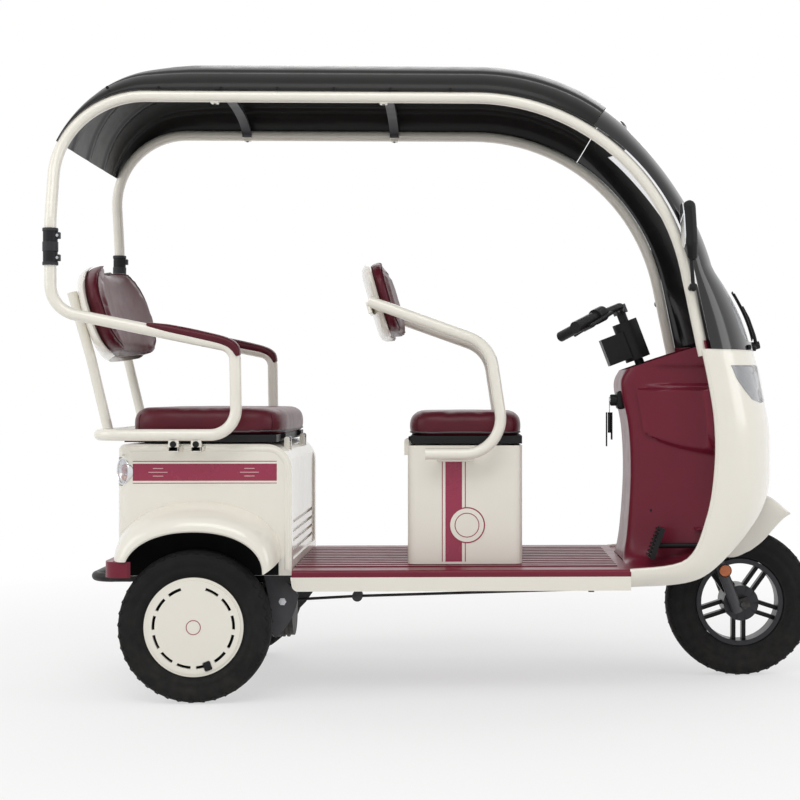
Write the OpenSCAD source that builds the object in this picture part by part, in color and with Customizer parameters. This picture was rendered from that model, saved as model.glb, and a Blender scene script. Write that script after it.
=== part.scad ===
/* Covered electric passenger tricycle: one driver seat, a two-place rear bench on a storage body. */
/* +X forward, +Y to the left, +Z up, wheels on z = 0, origin under the middle of the outer box. */

/* [Wheels] */
// Distance between the rear axle and the front axle
wheelbase = 1546; // [1500:1:1620]
// Outer diameter of a rear tyre
rear_tyre_d = 414; // [396:1:424]
// Width of a rear tyre
rear_tyre_w = 80; // [70:1:88]
// Distance between the middles of the two rear tyres
rear_track = 780; // [776:1:800]
// Outer diameter of the front tyre
front_tyre_d = 436; // [420:1:444]
// Width of the front tyre
front_tyre_w = 88; // [76:1:92]
// Bead diameter shared by the three rims
rim_d = 258; // [250:1:266]
// Diameter of the slotted cover on a rear wheel
cover_d = 268; // [240:1:280]

/* [Steering] */
// Lean of the steering axis from upright, in degrees
rake = 21; // [18:0.5:24]
// Distance of the front axle ahead of the steering axis
fork_offset = 20; // [10:1:30]
// Distance between the middles of the two fork legs
fork_spread = 152; // [150:1:164]
// Width over the two grip ends
bar_w = 670; // [600:1:700]
// Height of the grip ends
grip_z = 1022; // [1005:1:1040]

/* [Floor and body] */
// Height of the floor panel's top
deck_z = 355; // [348:1:362]
// Width over the floor, side skirts and front fairing
body_w = 720; // [690:1:740]
// Rear end of the floor panel
deck_rear_x = 256; // [256:1:290]
// Front end of the floor panel, where the leg shield begins
deck_front_x = 1188; // [1170:1:1200]
// Height of a side skirt
skirt_h = 52; // [40:1:60]
// Wall thickness of the moulded body panels
panel = 4; // [3:0.5:5]
// Width of the rear storage body
rear_body_w = 676; // [640:1:682]
// Height of the rear storage body's top
rear_body_top = 698; // [680:1:705]
// Width over the lips of the two rear fenders
fender_w = 884; // [872:1:900]

/* [Seats] */
// Width of the rear cushion
bench_w = 710; // [660:1:730]
// Depth of the rear cushion
bench_d = 449; // [420:1:455]
// Thickness of the rear cushion
bench_h = 71; // [55:1:80]
// Width of the driver cushion
driver_w = 490; // [440:1:510]
// Depth of the driver cushion
driver_d = 342; // [320:1:350]
// Thickness of the driver cushion
driver_h = 66; // [50:1:75]
// Width of the driver seat box
seat_box_w = 470; // [420:1:480]
// Height of the driver seat box's top
seat_box_top = 690; // [670:1:700]

/* [Canopy] */
// Diameter of the canopy and seat tubes
tube_d = 32; // [28:1:34]
// Height of the two roof tubes
roof_tube_z = 1656; // [1620:1:1690]
// Distance between the two roof tubes
roof_tube_w = 650; // [620:1:670]
// Distance between the two canopy posts at their sleeves
post_w = 830; // [800:1:840]
// Distance between the feet of the two front posts
foot_w = 664; // [650:1:668]
// Rise of the roof panel's crown over the tubes
crown = 118; // [100:1:150]
// Thickness of the roof and screen panels
sheet = 4; // [3:0.5:5]

/* [Hidden] */
$fn = 48;
$bend = 64;

cream = [0.91, 0.88, 0.82];
maroon = [0.42, 0.08, 0.13];
black = [0.09, 0.09, 0.10];
dark = [0.20, 0.20, 0.22];
steel = [0.62, 0.63, 0.65];
orange = [0.90, 0.45, 0.08];
smoke = [0.70, 0.72, 0.82];

// Wall thickness of the storage body and the seat box
wall = 5;
// Gap between two pieces that seat on each other, and the least gap beside a moving piece
seat_gap = 0.3;
swing_gap = 6;

// Wheels
rear_r = rear_tyre_d / 2;
front_r = front_tyre_d / 2;
rear_wheel_y = rear_track / 2;
axle_d = 15;

// The canopy's posts stand at the rear end of the vehicle, the front tyre is its front end
slim = 0.6;
run_d = tube_d - slim;
post_x = -385;
sleeve_d = 42;
rear_end_x = post_x - sleeve_d / 2;
front_end_x = wheelbase + front_r;
mid_x = (rear_end_x + front_end_x) / 2;

// Steering axis: origin of its frame beside the front axle, local z runs up the axis
steer_x = wheelbase - fork_offset * cos(rake);
steer_z = front_r - fork_offset * sin(rake);
crown_at = 326;
crown_h = 26;
head_from = crown_at + crown_h + 6;
head_len = 176;
stem_d = 28;
stem_top = 925;

// Canopy tube path
rear_bend = 235;
front_bend = 600;
foot_x = 1393;
foot_z = 962;
foot_seat = 942;
front_lean = 78;
front_corner_x = foot_x - (roof_tube_z - foot_z) / tan(front_lean);
skin_seat = tube_d / 2 + 0.75;
sleeve_z = 1232;
sleeve_h = 100;

// Body
body_half = body_w / 2;
skirt_top = deck_z - 9;
rear_half = rear_body_w / 2;
rear_body_x0 = -229;
rear_body_x1 = 254;
rear_body_z0 = 336;
store_floor = 470;
pan_h = 20;
bench_front_x = 239;
lid_gap = 5.5;
bench_pan_z = rear_body_top + lid_gap;
bench_z = bench_pan_z + pan_h + seat_gap;
bench_hinge = [bench_front_x - 11, bench_pan_z + 5];

// Driver seat
box_x0 = 568;
box_x1 = 893;
driver_rear_x = 560;
driver_pan_z = seat_box_top + lid_gap;
driver_z = driver_pan_z + pan_h + 2 + seat_gap;
driver_hinge = [box_x0 - 5, driver_pan_z + 5];
hinge_r = 7;
hinge_pin_r = 4;

// ---------------------------------------------------------------- shared shapes

function unit(v) = v / norm(v);
function mix(a, b, t) = a + (b - a) * t;
function ease(t) = let (c = max(0, min(1, t))) c * c * (3 - 2 * c);
function bezier(p, t) =
    pow(1 - t, 3) * p[0] + 3 * t * pow(1 - t, 2) * p[1] + 3 * t * t * (1 - t) * p[2] + pow(t, 3) * p[3];
function key(p, i) = p[max(0, min(len(p) - 1, i))];
// Smooth curve through evenly spaced points, t from 0 to 1
function through(p, t) =
    let (s = t * (len(p) - 1), i = min(floor(s), len(p) - 2), u = s - i)
    let (a = key(p, i - 1), b = p[i], c = p[i + 1], d = key(p, i + 2))
    0.5 * (2 * b + (c - a) * u + (2 * a - 5 * b + 4 * c - d) * u * u + (3 * b - a - 3 * c + d) * u * u * u);
function turn(a, b, c) = acos(max(-1, min(1, unit(b - a) * unit(c - b))));
function trim(a, b, c, r) = r * tan(turn(a, b, c) / 2);

// Everything is drawn from the rear axle, then moved so the origin lies under the middle
module placed() {
    translate([-mid_x, 0, 0]) children();
}

module both_sides() {
    children();
    mirror([0, 1, 0]) children();
}

// Round bar between two points
module rod(a, b, d) {
    v = b - a;
    translate(a)
        rotate([0, acos(v[2] / norm(v)), atan2(v[1], v[0])])
            cylinder(h = norm(v), d = d);
}

// Part of a ring that joins the bars a-b and b-c
module elbow(a, b, c, r, d) {
    u = unit(b - a);
    w = unit(unit(c - b) - u * (u * unit(c - b)));
    n = cross(-w, u);
    o = b - u * trim(a, b, c, r) + w * r;
    multmatrix([
        [-w[0], u[0], n[0], o[0]],
        [-w[1], u[1], n[1], o[1]],
        [-w[2], u[2], n[2], o[2]],
        [0, 0, 0, 1]
    ])
        rotate_extrude(angle = turn(a, b, c), $fn = $bend)
            translate([r, 0]) circle(d = d);
}

// Bent tube through the points p, with the bend radii r at its inner points.
// Each straight run is a hair thinner than its bends and laps 1 mm into them.
lap = 1;
module bent_tube(p, r, d) {
    last = len(p) - 1;
    for (i = [0 : last - 1]) {
        u = unit(p[i + 1] - p[i]);
        from = i == 0 ? 0 : trim(p[i - 1], p[i], p[i + 1], r[i - 1]) - lap;
        to = i == last - 1 ? 0 : trim(p[i], p[i + 1], p[i + 2], r[i]) - lap;
        rod(p[i] + u * from, p[i + 1] - u * to, d - slim);
    }
    for (i = [1 : last - 1]) elbow(p[i - 1], p[i], p[i + 1], r[i - 1], d);
}

function mirrored(p) = [for (q = p) [q[0], -q[1], q[2]]];
function reversed(p) = [for (i = [len(p) - 1 : -1 : 0]) p[i]];

// Thin panel between two grids of points, rows first; faces point outwards
module panel_between(outer, inner) {
    rows = len(outer);
    cols = len(outer[0]);
    n = rows * cols;
    points = [for (g = [outer, inner]) for (row = g) for (p = row) p];
    faces = concat(
        [for (i = [0 : rows - 2]) for (j = [0 : cols - 2]) let (k = i * cols + j)
            each [[k, k + 1, k + cols + 1], [k, k + cols + 1, k + cols]]],
        [for (i = [0 : rows - 2]) for (j = [0 : cols - 2]) let (k = n + i * cols + j)
            each [[k, k + cols + 1, k + 1], [k, k + cols, k + cols + 1]]],
        [for (j = [0 : cols - 2])
            each [[j, n + j, n + j + 1], [j, n + j + 1, j + 1]]],
        [for (j = [0 : cols - 2]) let (k = (rows - 1) * cols + j)
            each [[k, k + 1, n + k + 1], [k, n + k + 1, n + k]]],
        [for (i = [0 : rows - 2]) let (k = i * cols)
            each [[k, k + cols, n + k + cols], [k, n + k + cols, n + k]]],
        [for (i = [0 : rows - 2]) let (k = i * cols + cols - 1)
            each [[k, n + k, n + k + cols], [k, n + k + cols, k + cols]]]
    );
    polyhedron(points, faces, convexity = 6);
}

// Solid through closed rings with the same number of points
module lofted(rings) {
    n = len(rings[0]);
    last = len(rings) - 1;
    points = [for (ring = rings) for (p = ring) p];
    faces = concat(
        [[for (i = [n - 1 : -1 : 0]) i]],
        [for (k = [0 : last - 1]) for (i = [0 : n - 1])
            let (a = k * n + i, b = k * n + (i + 1) % n)
            each [[a, b, b + n], [a, b + n, a + n]]],
        [[for (i = [0 : n - 1]) last * n + i]]
    );
    polyhedron(points, faces, convexity = 4);
}

// One ring of a rounded rectangle with superelliptic corners
function pad_ring(w, d, z, steps = 32, power = 0.35) = [
    for (i = [0 : steps - 1]) let (a = 360 * (i + 0.5) / steps) [
        w / 2 * sign(cos(a)) * pow(abs(cos(a)), power),
        d / 2 * sign(sin(a)) * pow(abs(sin(a)), power),
        z
    ]
];

// Upholstered pad, crowned by its rounded edges, standing on z = 0
module pad(w, d, h, edge) {
    lofted([
        pad_ring(w - edge * 0.7, d - edge * 0.7, 0),
        pad_ring(w - edge * 0.2, d - edge * 0.2, edge * 0.25),
        pad_ring(w, d, edge * 0.7),
        pad_ring(w, d, h - edge * 0.9),
        pad_ring(w - edge * 0.5, d - edge * 0.5, h - edge * 0.28),
        pad_ring(w - edge * 1.5, d - edge * 1.5, h)
    ]);
}

module rounded_square(size, r) {
    hull()
        for (x = [r, size[0] - r], y = [r, size[1] - r])
            translate([x, y]) circle(r = r);
}

// Draws children, given in the x-z plane, through the width from y = -half to y = half
module across(half) {
    translate([0, half, 0])
        rotate([90, 0, 0])
            linear_extrude(height = 2 * half) children();
}

module steer_frame() {
    translate([steer_x, 0, steer_z])
        rotate([0, -rake, 0]) children();
}

// ---------------------------------------------------------------- chassis and floor

rail_y = 180;
rail_w = 34;
rail_h = 38;
rail_z = deck_z - 10 - rail_h - seat_gap;
kick_z = store_floor - wall - rail_h - seat_gap;

module chassis_frame() {
    color(black) placed()
        difference() {
            union() {
                both_sides() {
                    // Rail under the floor, kicked up over the rear axle
                    translate([170, rail_y - rail_w / 2, rail_z]) cube([1000, rail_w, rail_h]);
                    translate([170, rail_y - rail_w / 2, rail_z]) cube([rail_h, rail_w, kick_z + rail_h - rail_z]);
                    translate([-190, rail_y - rail_w / 2, kick_z]) cube([378, rail_w, rail_h]);
                    bent_tube([
                        [1140, rail_y, rail_z + rail_h / 2],
                        [1246, 118, rail_z + rail_h / 2],
                        [1262, 40, 590],
                        head_point(120) + [0, 14, 0]
                    ], [60, 50], 30);
                    // Side plate behind the rear wheel, on an outrigger
                    translate([206, rail_y + rail_w / 2 - 4, rail_z + 4]) cube([44, plate_y - rail_y - 16, 24]);
                    translate([0, plate_y, 0]) rotate([90, 0, 0])
                        linear_extrude(height = 6) polygon(side_plate);
                }
                for (x = [290, 690, 1120])
                    translate([x, -rail_y, rail_z + 4]) cube([30, 2 * rail_y, rail_h - 8]);
                for (x = [-186, 150])
                    translate([x, -rail_y, kick_z + 4]) cube([30, 2 * rail_y, rail_h - 8]);
                steer_frame() translate([0, 0, head_from]) cylinder(h = head_len, d = 52);
            }
            // Bearing bore for the steering stem
            steer_frame() translate([0, 0, head_from - 40]) cylinder(h = head_len + 80, d = stem_d + 0.1);
        }
}
plate_y = 300;
side_plate = [
    [172, 334], [222, 334], [231, 317], [268, 277], [262, 245], [250, 213], [227, 180], [206, 158],
    [194, 172], [190, 250]
];
function head_point(h) = [
    steer_x - (head_from + h) * sin(rake), 0, steer_z + (head_from + h) * cos(rake)
];

rib_w = 26;
rib_gap = 22;

module floor_deck() {
    ribs = floor((body_w - 140) / (rib_w + rib_gap));
    color(maroon) placed() {
        translate([deck_rear_x, 0, 0])
            rotate([90, 0, 90])
                linear_extrude(height = deck_front_x - deck_rear_x)
                    difference() {
                        hull() {
                            translate([-body_half + 9, deck_z - 12]) circle(r = 9);
                            translate([body_half - 9, deck_z - 12]) circle(r = 9);
                            translate([-body_half, deck_z - 22]) square([body_w, 2]);
                        }
                        translate([-body_half + 12, deck_z - 40]) square([body_w - 24, 30]);
                    }
        for (i = [0 : ribs - 1])
            translate([deck_rear_x, (i - (ribs - 1) / 2) * (rib_w + rib_gap) - rib_w / 2, deck_z - 10])
                cube([deck_front_x - deck_rear_x - 30, rib_w, 10]);
    }
}

skirt_foot = skirt_top - skirt_h;
skirt_seat = deck_z - 22 - seat_gap;
module side_skirts() {
    color(cream) placed()
        both_sides()
            translate([0, body_half, 0])
                rotate([90, 0, 0])
                    linear_extrude(height = 18)
                        hull() {
                            translate([deck_rear_x - 3, skirt_seat - 4]) square([4, 4]);
                            translate([deck_rear_x + 18, skirt_foot + 18]) circle(r = 18);
                            translate([deck_front_x - 1, skirt_foot]) square([1, skirt_seat - skirt_foot]);
                        }
    }

// ---------------------------------------------------------------- front fairing and leg shield

// Edge between fairing and leg shield, from its tip beside the screen down to the floor
function rim(v) = through([
    [1386, 983], [1409, 876], [1427, 760], [1428, 630], [1405, 490], [1345, 372],
    [deck_front_x + seat_gap, skirt_top]
], v);
// Middle of the nose at the same station; its lowest part is cut open for the wheel
function nose(v) = through([[1578, 968], [1605, 850], [1629, 690], [1604, 470], [1440, 272], [1190, 240]], v);
fairing_rows = 16;
fairing_cols = 24;

function fairing_row(v, wall) = [
    for (j = [0 : fairing_cols]) let (
        a = -90 + 180 * j / fairing_cols,
        r = rim(v),
        p = mix(r, nose(v) - unit(nose(v) - r) * wall, pow(cos(a), 0.9))
    ) [p[0], (body_half - wall) * sin(a), p[1]]
];
function fairing_grid(wall) = [for (i = [0 : fairing_rows]) fairing_row(i / fairing_rows, wall)];

// Opening over the front wheel, seen from the front
arch_half = 345;
arch_top = 640;
module wheel_arch() {
    translate([1180, 0, 200])
        rotate([90, 0, 90])
            linear_extrude(height = 600)
                polygon([
                    for (i = [0 : 30]) let (a = 180 * i / 30) [
                        arch_half * sign(cos(a)) * pow(abs(cos(a)), 1.15),
                        (arch_top - 200) * pow(sin(a), 1.15)
                    ]
                ]);
}

// Side outline of a headlamp, which wraps round the corner of the nose
lamp_from = 84;
lamp_to = 346;
module lamp_outline(grow) {
    offset(delta = grow)
        polygon([[1467, 915], [1584, 918], [1612, 816], [1567, 811], [1534, 820], [1507, 848], [1485, 876]]);
}

module lamp_cutter(grow) {
    both_sides()
        translate([0, -lamp_from + grow, 0])
            rotate([90, 0, 0])
                linear_extrude(height = lamp_to - lamp_from + 2 * grow) lamp_outline(grow);
}

module front_fairing() {
    color(cream) placed()
        difference() {
            panel_between(fairing_grid(0), fairing_grid(panel));
            wheel_arch();
            lamp_cutter(seat_gap);
            translate([1300, -400, fairing_top]) cube([400, 800, 60]);
        }
}
fairing_top = foot_z - 2;

module headlamps() {
    color(smoke) placed()
        intersection() {
            panel_between(fairing_grid(-3), fairing_grid(panel + 16));
            lamp_cutter(0);
        }
}

// Rear face of the steering column's cover
function column(v) = through([[1200, 908], [1184, 860], [1206, 740], [1212, 600], [1202, 440], [deck_front_x + seat_gap, deck_z]], v);
column_half = 112;
shield_rows = 15;
shield_cols = 28;
shield_half = body_half - panel - 1.2;

function shield_face(v, y) =
    let (
        w = ease((abs(y) - column_half) / 110),
        side = rim(v),
        edge = abs(y) / body_half,
        dip = 46 * sin(180 * min(1, max(0, (edge - 0.25) / 0.75))) * (1 - pow(v, 6)),
        pocket = 58 * ease((v - 0.06) / 0.12) * (1 - ease((v - 0.26) / 0.16))
            * ease((edge - 0.36) / 0.12) * (1 - ease((edge - 0.78) / 0.14)),
        c = column(v),
        p = mix(c, side, w)
    )
    [p[0] + dip * w - pocket, p[1]];
function shield_point(v, y, wall) =
    let (p = shield_face(v, y), u = unit(shield_face(min(1, v + 0.01), y) - shield_face(max(0, v - 0.01), y)))
    [p[0] - u[1] * wall, y, p[1] + u[0] * wall];
function shield_grid(wall) = [
    for (i = [0 : shield_rows]) [
        for (j = [0 : shield_cols])
            shield_point(i / shield_rows, shield_half * (2 * j / shield_cols - 1), wall)
    ]
];

module leg_shield() {
    color(maroon) placed()
        difference() {
            union() {
                panel_between(shield_grid(panel), shield_grid(0));
                dash();
            }
            both_sides() post_foot_clearance();
            pedal_arm(seat_gap);
            translate([stem_at(905), 0, 860]) cylinder(h = 120, d = stem_d + 64);
        }
}

module post_foot_clearance() {
    u = unit(front_corner - front_foot);
    rod(front_foot - u * seat_gap, front_foot + u * 90, run_d + 2 * seat_gap);
}

// Dash between the leg shield and the fairing's inner face
dash_at = 1 / shield_rows;
dash_steps = 2;
function dash_row(t, drop) = [
    for (j = [0 : shield_cols]) let (
        y = shield_half * (2 * j / shield_cols - 1),
        back = shield_point(dash_at, y, panel - 1),
        r = rim(dash_at),
        front = mix(r, nose(dash_at) - [panel + 1.5, 0], pow(sqrt(max(0, 1 - pow(y / (shield_half + 0.05), 2))), 0.9)),
        x = mix(back[0], max(back[0] + 2, front[0] - 1.5), t)
    ) [x, y, mix(back[2], front[1], t) - drop]
];
module dash() {
    panel_between(
        [for (i = [0 : dash_steps]) dash_row(i / dash_steps, 0)],
        [for (i = [0 : dash_steps]) dash_row(i / dash_steps, panel)]
    );
}
function stem_at(z) = steer_x - (z - steer_z) * tan(rake);

// ---------------------------------------------------------------- canopy

post_top = [post_x, roof_tube_w / 2, roof_tube_z];
post_foot = [post_x, post_w / 2, sleeve_z];
post_knee = 70;
front_corner = [front_corner_x, roof_tube_w / 2, roof_tube_z];
front_foot = [foot_x, foot_w / 2, foot_seat + seat_gap];

module canopy_frame() {
    color(cream) placed()
        both_sides() {
            bent_tube([post_foot, post_foot + [0, 0, post_knee], post_top, front_corner, front_foot], [90, rear_bend, front_bend], tube_d);
            // Welded tabs that carry the roof braces
            for (x = brace_xs)
                translate([x - 14, roof_tube_w / 2 - tube_d / 2 - 12, roof_tube_z - 12])
                    cube([28, 16, 5]);
        }
}
brace_xs = [40, 505];

// Clamped sleeves that join the canopy posts to the seat frame
module post_sleeves() {
    color(black) placed()
        both_sides()
            difference() {
                rod(post_foot - [0, 0, sleeve_h / 2], post_foot + [0, 0, sleeve_h / 2], sleeve_d);
                rod(post_foot - [0, 0, sleeve_h], post_foot + [0, 0, sleeve_h], run_d + 2 * seat_gap);
            }
}

// Stations of the canopy skin along the tubes: [x, z, lean of the section in degrees, rise]
roof_from = 24;
split_angle = 32;
skin_edge = 15;
// Rise of the screen at the end of the upper bend and at its foot
brow = 80;
screen_foot = 172;
function rise_at(t) = 10 + (crown - 10) * pow(sin(90 * min(1, t)), 1.2);
function rear_arc(a) = let (t = (a - roof_from) / (90 - roof_from) * 0.67) [
    post_x + rear_bend - rear_bend * cos(a), roof_tube_z - rear_bend + rear_bend * sin(a), a, rise_at(t)
];
function roof_line(t) = [
    mix(post_x + rear_bend, front_corner_x - front_bend * tan(front_lean / 2), t), roof_tube_z, 90,
    rise_at(0.67 + t * 2)
];
function front_arc(a) = [
    front_corner_x - front_bend * tan(front_lean / 2) + front_bend * sin(a),
    roof_tube_z - front_bend + front_bend * cos(a), 90 + a, mix(crown, brow, ease(a / front_lean))
];
arc_end = front_arc(front_lean);
function front_leg(t) = [
    mix(arc_end[0], foot_x, t), mix(arc_end[1], fairing_top + seat_gap, t),
    mix(90 + front_lean, 180, ease(t)), mix(brow, screen_foot, pow(sin(90 * t), 0.9))
];
function skin_half(s) = roof_tube_w / 2 + skin_edge + (s[0] < 0
    ? (post_w - roof_tube_w) / 2 * max(0, roof_tube_z - s[1]) / (roof_tube_z - sleeve_z - post_knee)
    : (body_half - roof_tube_w / 2 - skin_edge) * pow(max(0, roof_tube_z - s[1]) / (roof_tube_z - foot_z), 1.5));
skin_cols = 24;
function skin_row(s, wall, reach = 90) = [
    for (j = [0 : skin_cols]) let (
        a = -reach + 2 * reach * j / skin_cols,
        n = skin_seat + max(1, s[3] - wall) * cos(a)
    ) [s[0] - n * cos(s[2]), (skin_half(s) - wall) * sin(a), s[1] + n * sin(s[2])]
];
roof_stations = concat(
    [for (i = [0 : 9]) rear_arc(mix(roof_from, 90, i / 9))],
    [for (i = [1 : 4]) roof_line(i / 4)],
    [for (i = [1 : 4]) front_arc(split_angle * i / 4)]
);
screen_stations = concat(
    [for (i = [0 : 7]) front_arc(mix(split_angle + 0.2, front_lean, i / 7))],
    [for (i = [1 : 6]) front_leg(i / 6)]
);
function skin_grid(stations, wall, reach = 90) = [for (s = stations) skin_row(s, wall, reach)];

module canopy_roof() {
    color(black) placed()
        panel_between(skin_grid(roof_stations, 0), skin_grid(roof_stations, sheet));
    color(black) placed() roof_braces();
}

brace_w = 34;
module roof_braces() {
        for (x = brace_xs)
            translate([x - brace_w / 2, 0, roof_tube_z - 7 + seat_gap])
                difference() {
                    rotate([90, 0, 90])
                        linear_extrude(height = brace_w)
                            difference() {
                                polygon([for (i = [0 : 24]) let (a = 180 * i / 24)
                                    [(roof_tube_w / 2 - 17) * cos(a), 62 * sin(a)]]);
                                polygon([for (i = [0 : 24]) let (a = 180 * i / 24)
                                    [(roof_tube_w / 2 - 30) * cos(a), 50 * sin(a) - 1]]);
                            }
                }
}

// Front view of the clear window in the screen frame
window_half_top = 285;
window_half_foot = 275;
window_top = 1612;
window_foot = 985;
// The pane lies behind the frame, clear of its flat facets
pane_gap = 1.3;
module screen_window(grow) {
    translate([900, 0, 0])
        rotate([90, 0, 90])
            linear_extrude(height = 900)
                hull() {
                    for (s = [-1, 1]) {
                        translate([s * (window_half_top - 60), window_top - 60])
                            circle(r = 60 + grow, $fn = 32);
                        translate([s * (window_half_foot - 40), window_foot + 40])
                            circle(r = 40 + grow, $fn = 32);
                    }
                }
}

module screen_frame() {
    color(black) placed()
        difference() {
            panel_between(skin_grid(screen_stations, 0), skin_grid(screen_stations, sheet));
            screen_window(0);
        }
    color(black) placed() wiper();
}

module windscreen() {
    color(smoke) placed()
        intersection() {
            panel_between(
                skin_grid(screen_stations, sheet + pane_gap, 62),
                skin_grid(screen_stations, sheet + pane_gap + 3, 62)
            );
            screen_window(14);
        }
}

// Middle of the screen's outer face at station t of its lower part, then across to y
function screen_face(t, y, out) =
    let (s = front_leg(t), n = skin_seat + s[3] * cos(asin(y / skin_half(s))) + out)
    [s[0] - n * cos(s[2]), y, s[1] + n * sin(s[2])];
module wiper() {
    hub = screen_face(0.93, -60, 0);
    translate(hub) rotate([0, 78, 0]) translate([0, 0, 1.2]) cylinder(h = 20, d = 24);
    rod(hub + [17, 0, 4], screen_face(0.5, -150, 14), 7);
}

module mirrors() {
    at = [1354.6, 348.8, 1128];
    color(black) placed()
        both_sides() {
            rod([at[0], at[1] - 2.6, at[2]], at + [0, 46, 0], 16);
            translate(at + [0, 46, 0]) sphere(d = 24, $fn = 24);
            rod(at + [0, 46, 0], at + [-6, 48, 84], 11);
            hull() {
                translate([1352, 398, 1215]) sphere(d = 30, $fn = 14);
                translate([1340, 372, 1345]) sphere(d = 34, $fn = 14);
                translate([1340, 424, 1345]) sphere(d = 34, $fn = 14);
                translate([1346, 376, 1245]) sphere(d = 34, $fn = 14);
                translate([1346, 424, 1245]) sphere(d = 34, $fn = 14);
            }
        }
}

// ---------------------------------------------------------------- rear body

module body_side(inset) {
    x0 = rear_body_x0 + inset;
    x1 = rear_body_x1 - inset;
    z1 = rear_body_top - inset;
    hull() {
        translate([x0 + 30, z1 - 30]) circle(r = 30);
        translate([x1 - 70, z1 - 70]) circle(r = 70);
        translate([x0, rear_body_z0]) square([1, 1]);
        translate([x1 - 1, rear_body_z0]) square([1, 1]);
    }
}

corner_r = 50;
module rear_body() {
    color(cream) placed() {
        difference() {
            intersection() {
                across(rear_half) body_side(0);
                // Rounded rear corners
                union() {
                    translate([rear_body_x0 + corner_r, -rear_half, 300]) cube([600, rear_body_w, 500]);
                    translate([rear_body_x0, -rear_half + corner_r, 300]) cube([600, rear_body_w - 2 * corner_r, 500]);
                    both_sides()
                        translate([rear_body_x0 + corner_r, rear_half - corner_r, 300])
                            cylinder(h = 500, r = corner_r);
                }
            }
            // Store under the cushion, open at the top
            translate([rear_body_x0 + 46, -rear_half + 48, store_floor])
                cube([rear_body_x1 - rear_body_x0 - 120, rear_body_w - 96, 400]);
            // Open space over the axle
            difference() {
                translate([rear_body_x0 + wall, -rear_half + wall, rear_body_z0 - 10])
                    cube([rear_body_x1 - rear_body_x0 - wall - 20, rear_body_w - 2 * wall, store_floor - wall - rear_body_z0 + 10]);
                both_sides()
                    translate([rear_body_x0 - 10, rear_half - corner_r, 300]) cube([corner_r + 10, 100, 400]);
            }
            // Recess with louvres facing the footwell
            translate([rear_body_x1 - 5, -rear_half + 36, rear_body_z0 + 40])
                cube([30, rear_body_w - 72, 290]);
            for (i = [0 : 3])
                translate([rear_body_x1 - 13, -rear_half + 70, rear_body_z0 + 60 + i * 26])
                    cube([30, rear_body_w - 140, 9]);
            // Notches over the chassis rails and seats of the tail lamps
            both_sides() {
                translate([rear_body_x1 - 60, rail_y - rail_w / 2 - 3, 300])
                    cube([90, rail_w + 6, rail_z + rail_h + 3 - 300]);
                lamp_place() translate([0, 0, -8 - seat_gap]) cylinder(h = 80, d = lamp_d + 2 * seat_gap);
            }
        }
        for (y = [-1, 1] * 200) bench_hinge_bracket(y);
    }
}

hinge_len = 50;
ear = 8;
module bench_hinge_bracket(y) {
    for (s = [-1, 1])
        translate([bench_hinge[0], y + s * (hinge_len / 2 + ear / 2 + 1) + ear / 2, bench_hinge[1]])
            rotate([90, 0, 0])
                linear_extrude(height = ear) {
                    circle(r = hinge_r);
                    translate([-hinge_r, -44]) square([2 * hinge_r, 44]);
                }
    translate([bench_hinge[0], y + hinge_len / 2 + 4, bench_hinge[1]])
        rotate([90, 0, 0]) cylinder(h = hinge_len + 8, r = hinge_pin_r);
}

module hinge_barrel(at, y) {
    translate([at[0], y + hinge_len / 2, at[1]])
        rotate([90, 0, 0])
            difference() {
                cylinder(h = hinge_len, r = hinge_r);
                translate([0, 0, -1]) cylinder(h = hinge_len + 2, r = hinge_pin_r + 0.4);
            }
}

fender_rows = 20;
fender_cols = 6;
function fender_row(a, wall) = [
    for (j = [0 : fender_cols]) let (
        u = j / fender_cols,
        c = 90 * u,
        rx = mix(226, 190, 1 - cos(c)) - wall,
        rz = mix(151, 118, 1 - cos(c)) - wall,
        z0 = mix(388, 350, u)
    ) [
        rx * sign(cos(a)) * pow(abs(cos(a)), 0.92),
        rear_half + (fender_w / 2 - rear_half - wall * u) * sin(c) + seat_gap,
        z0 + rz * pow(sin(a), 0.92)
    ]
];
module rear_fenders() {
    outer = [for (i = [0 : fender_rows]) fender_row(180 * i / fender_rows, 0)];
    inner = [for (i = [0 : fender_rows]) fender_row(180 * i / fender_rows, panel)];
    color(cream) placed()
        both_sides()
            difference() {
                panel_between(outer, inner);
                translate([-400, 200, 200]) cube([300, 400, 384.3 - 200]);
            }
}

// Round lamp sunk into the rear corner of the body
lamp_d = 80;
lamp_turn = 36;
module lamp_place() {
    translate([rear_body_x0 + 20, rear_half - 28, 622])
        rotate([0, -90, lamp_turn * -1]) children();
}
module tail_lamps() {
    color(smoke) placed()
        both_sides() lamp_place() {
            translate([0, 0, -8]) cylinder(h = 12, d = lamp_d);
            translate([0, 0, 3]) cylinder(h = 5, d1 = lamp_d - 6, d2 = lamp_d - 22);
        }
}

module rear_bumper() {
    reach = fender_w / 2 - 8;
    color(maroon) placed()
        translate([0, 0, 341])
            linear_extrude(height = 43)
                difference() {
                    hull() {
                        translate([-196, -reach + 46]) circle(r = 46);
                        translate([-196, reach - 46]) circle(r = 46);
                        translate([-180, -reach]) square([4, 2 * reach]);
                    }
                    translate([rear_body_x0 - seat_gap, -rear_half - seat_gap]) square([200, rear_body_w + 2 * seat_gap]);
                    translate([-217, -reach + 8]) square([100, 2 * reach - 16]);
                }
}

module bumper_tube() {
    color(black) placed() {
        bent_tube([
            [-176, rail_y, kick_z - seat_gap], [-176, rail_y, 314], [-330, rail_y, 314],
            [-330, -rail_y, 314], [-176, -rail_y, 314], [-176, -rail_y, kick_z - seat_gap]
        ], [50, 60, 60, 50], 26);
    }
}

battery_h = 178;
module battery_pack() {
    color(dark) placed()
        translate([box_x0 + 34, -165, deck_z + 7 + seat_gap])
            cube([box_x1 - box_x0 - 68, 330, battery_h]);
}

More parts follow.
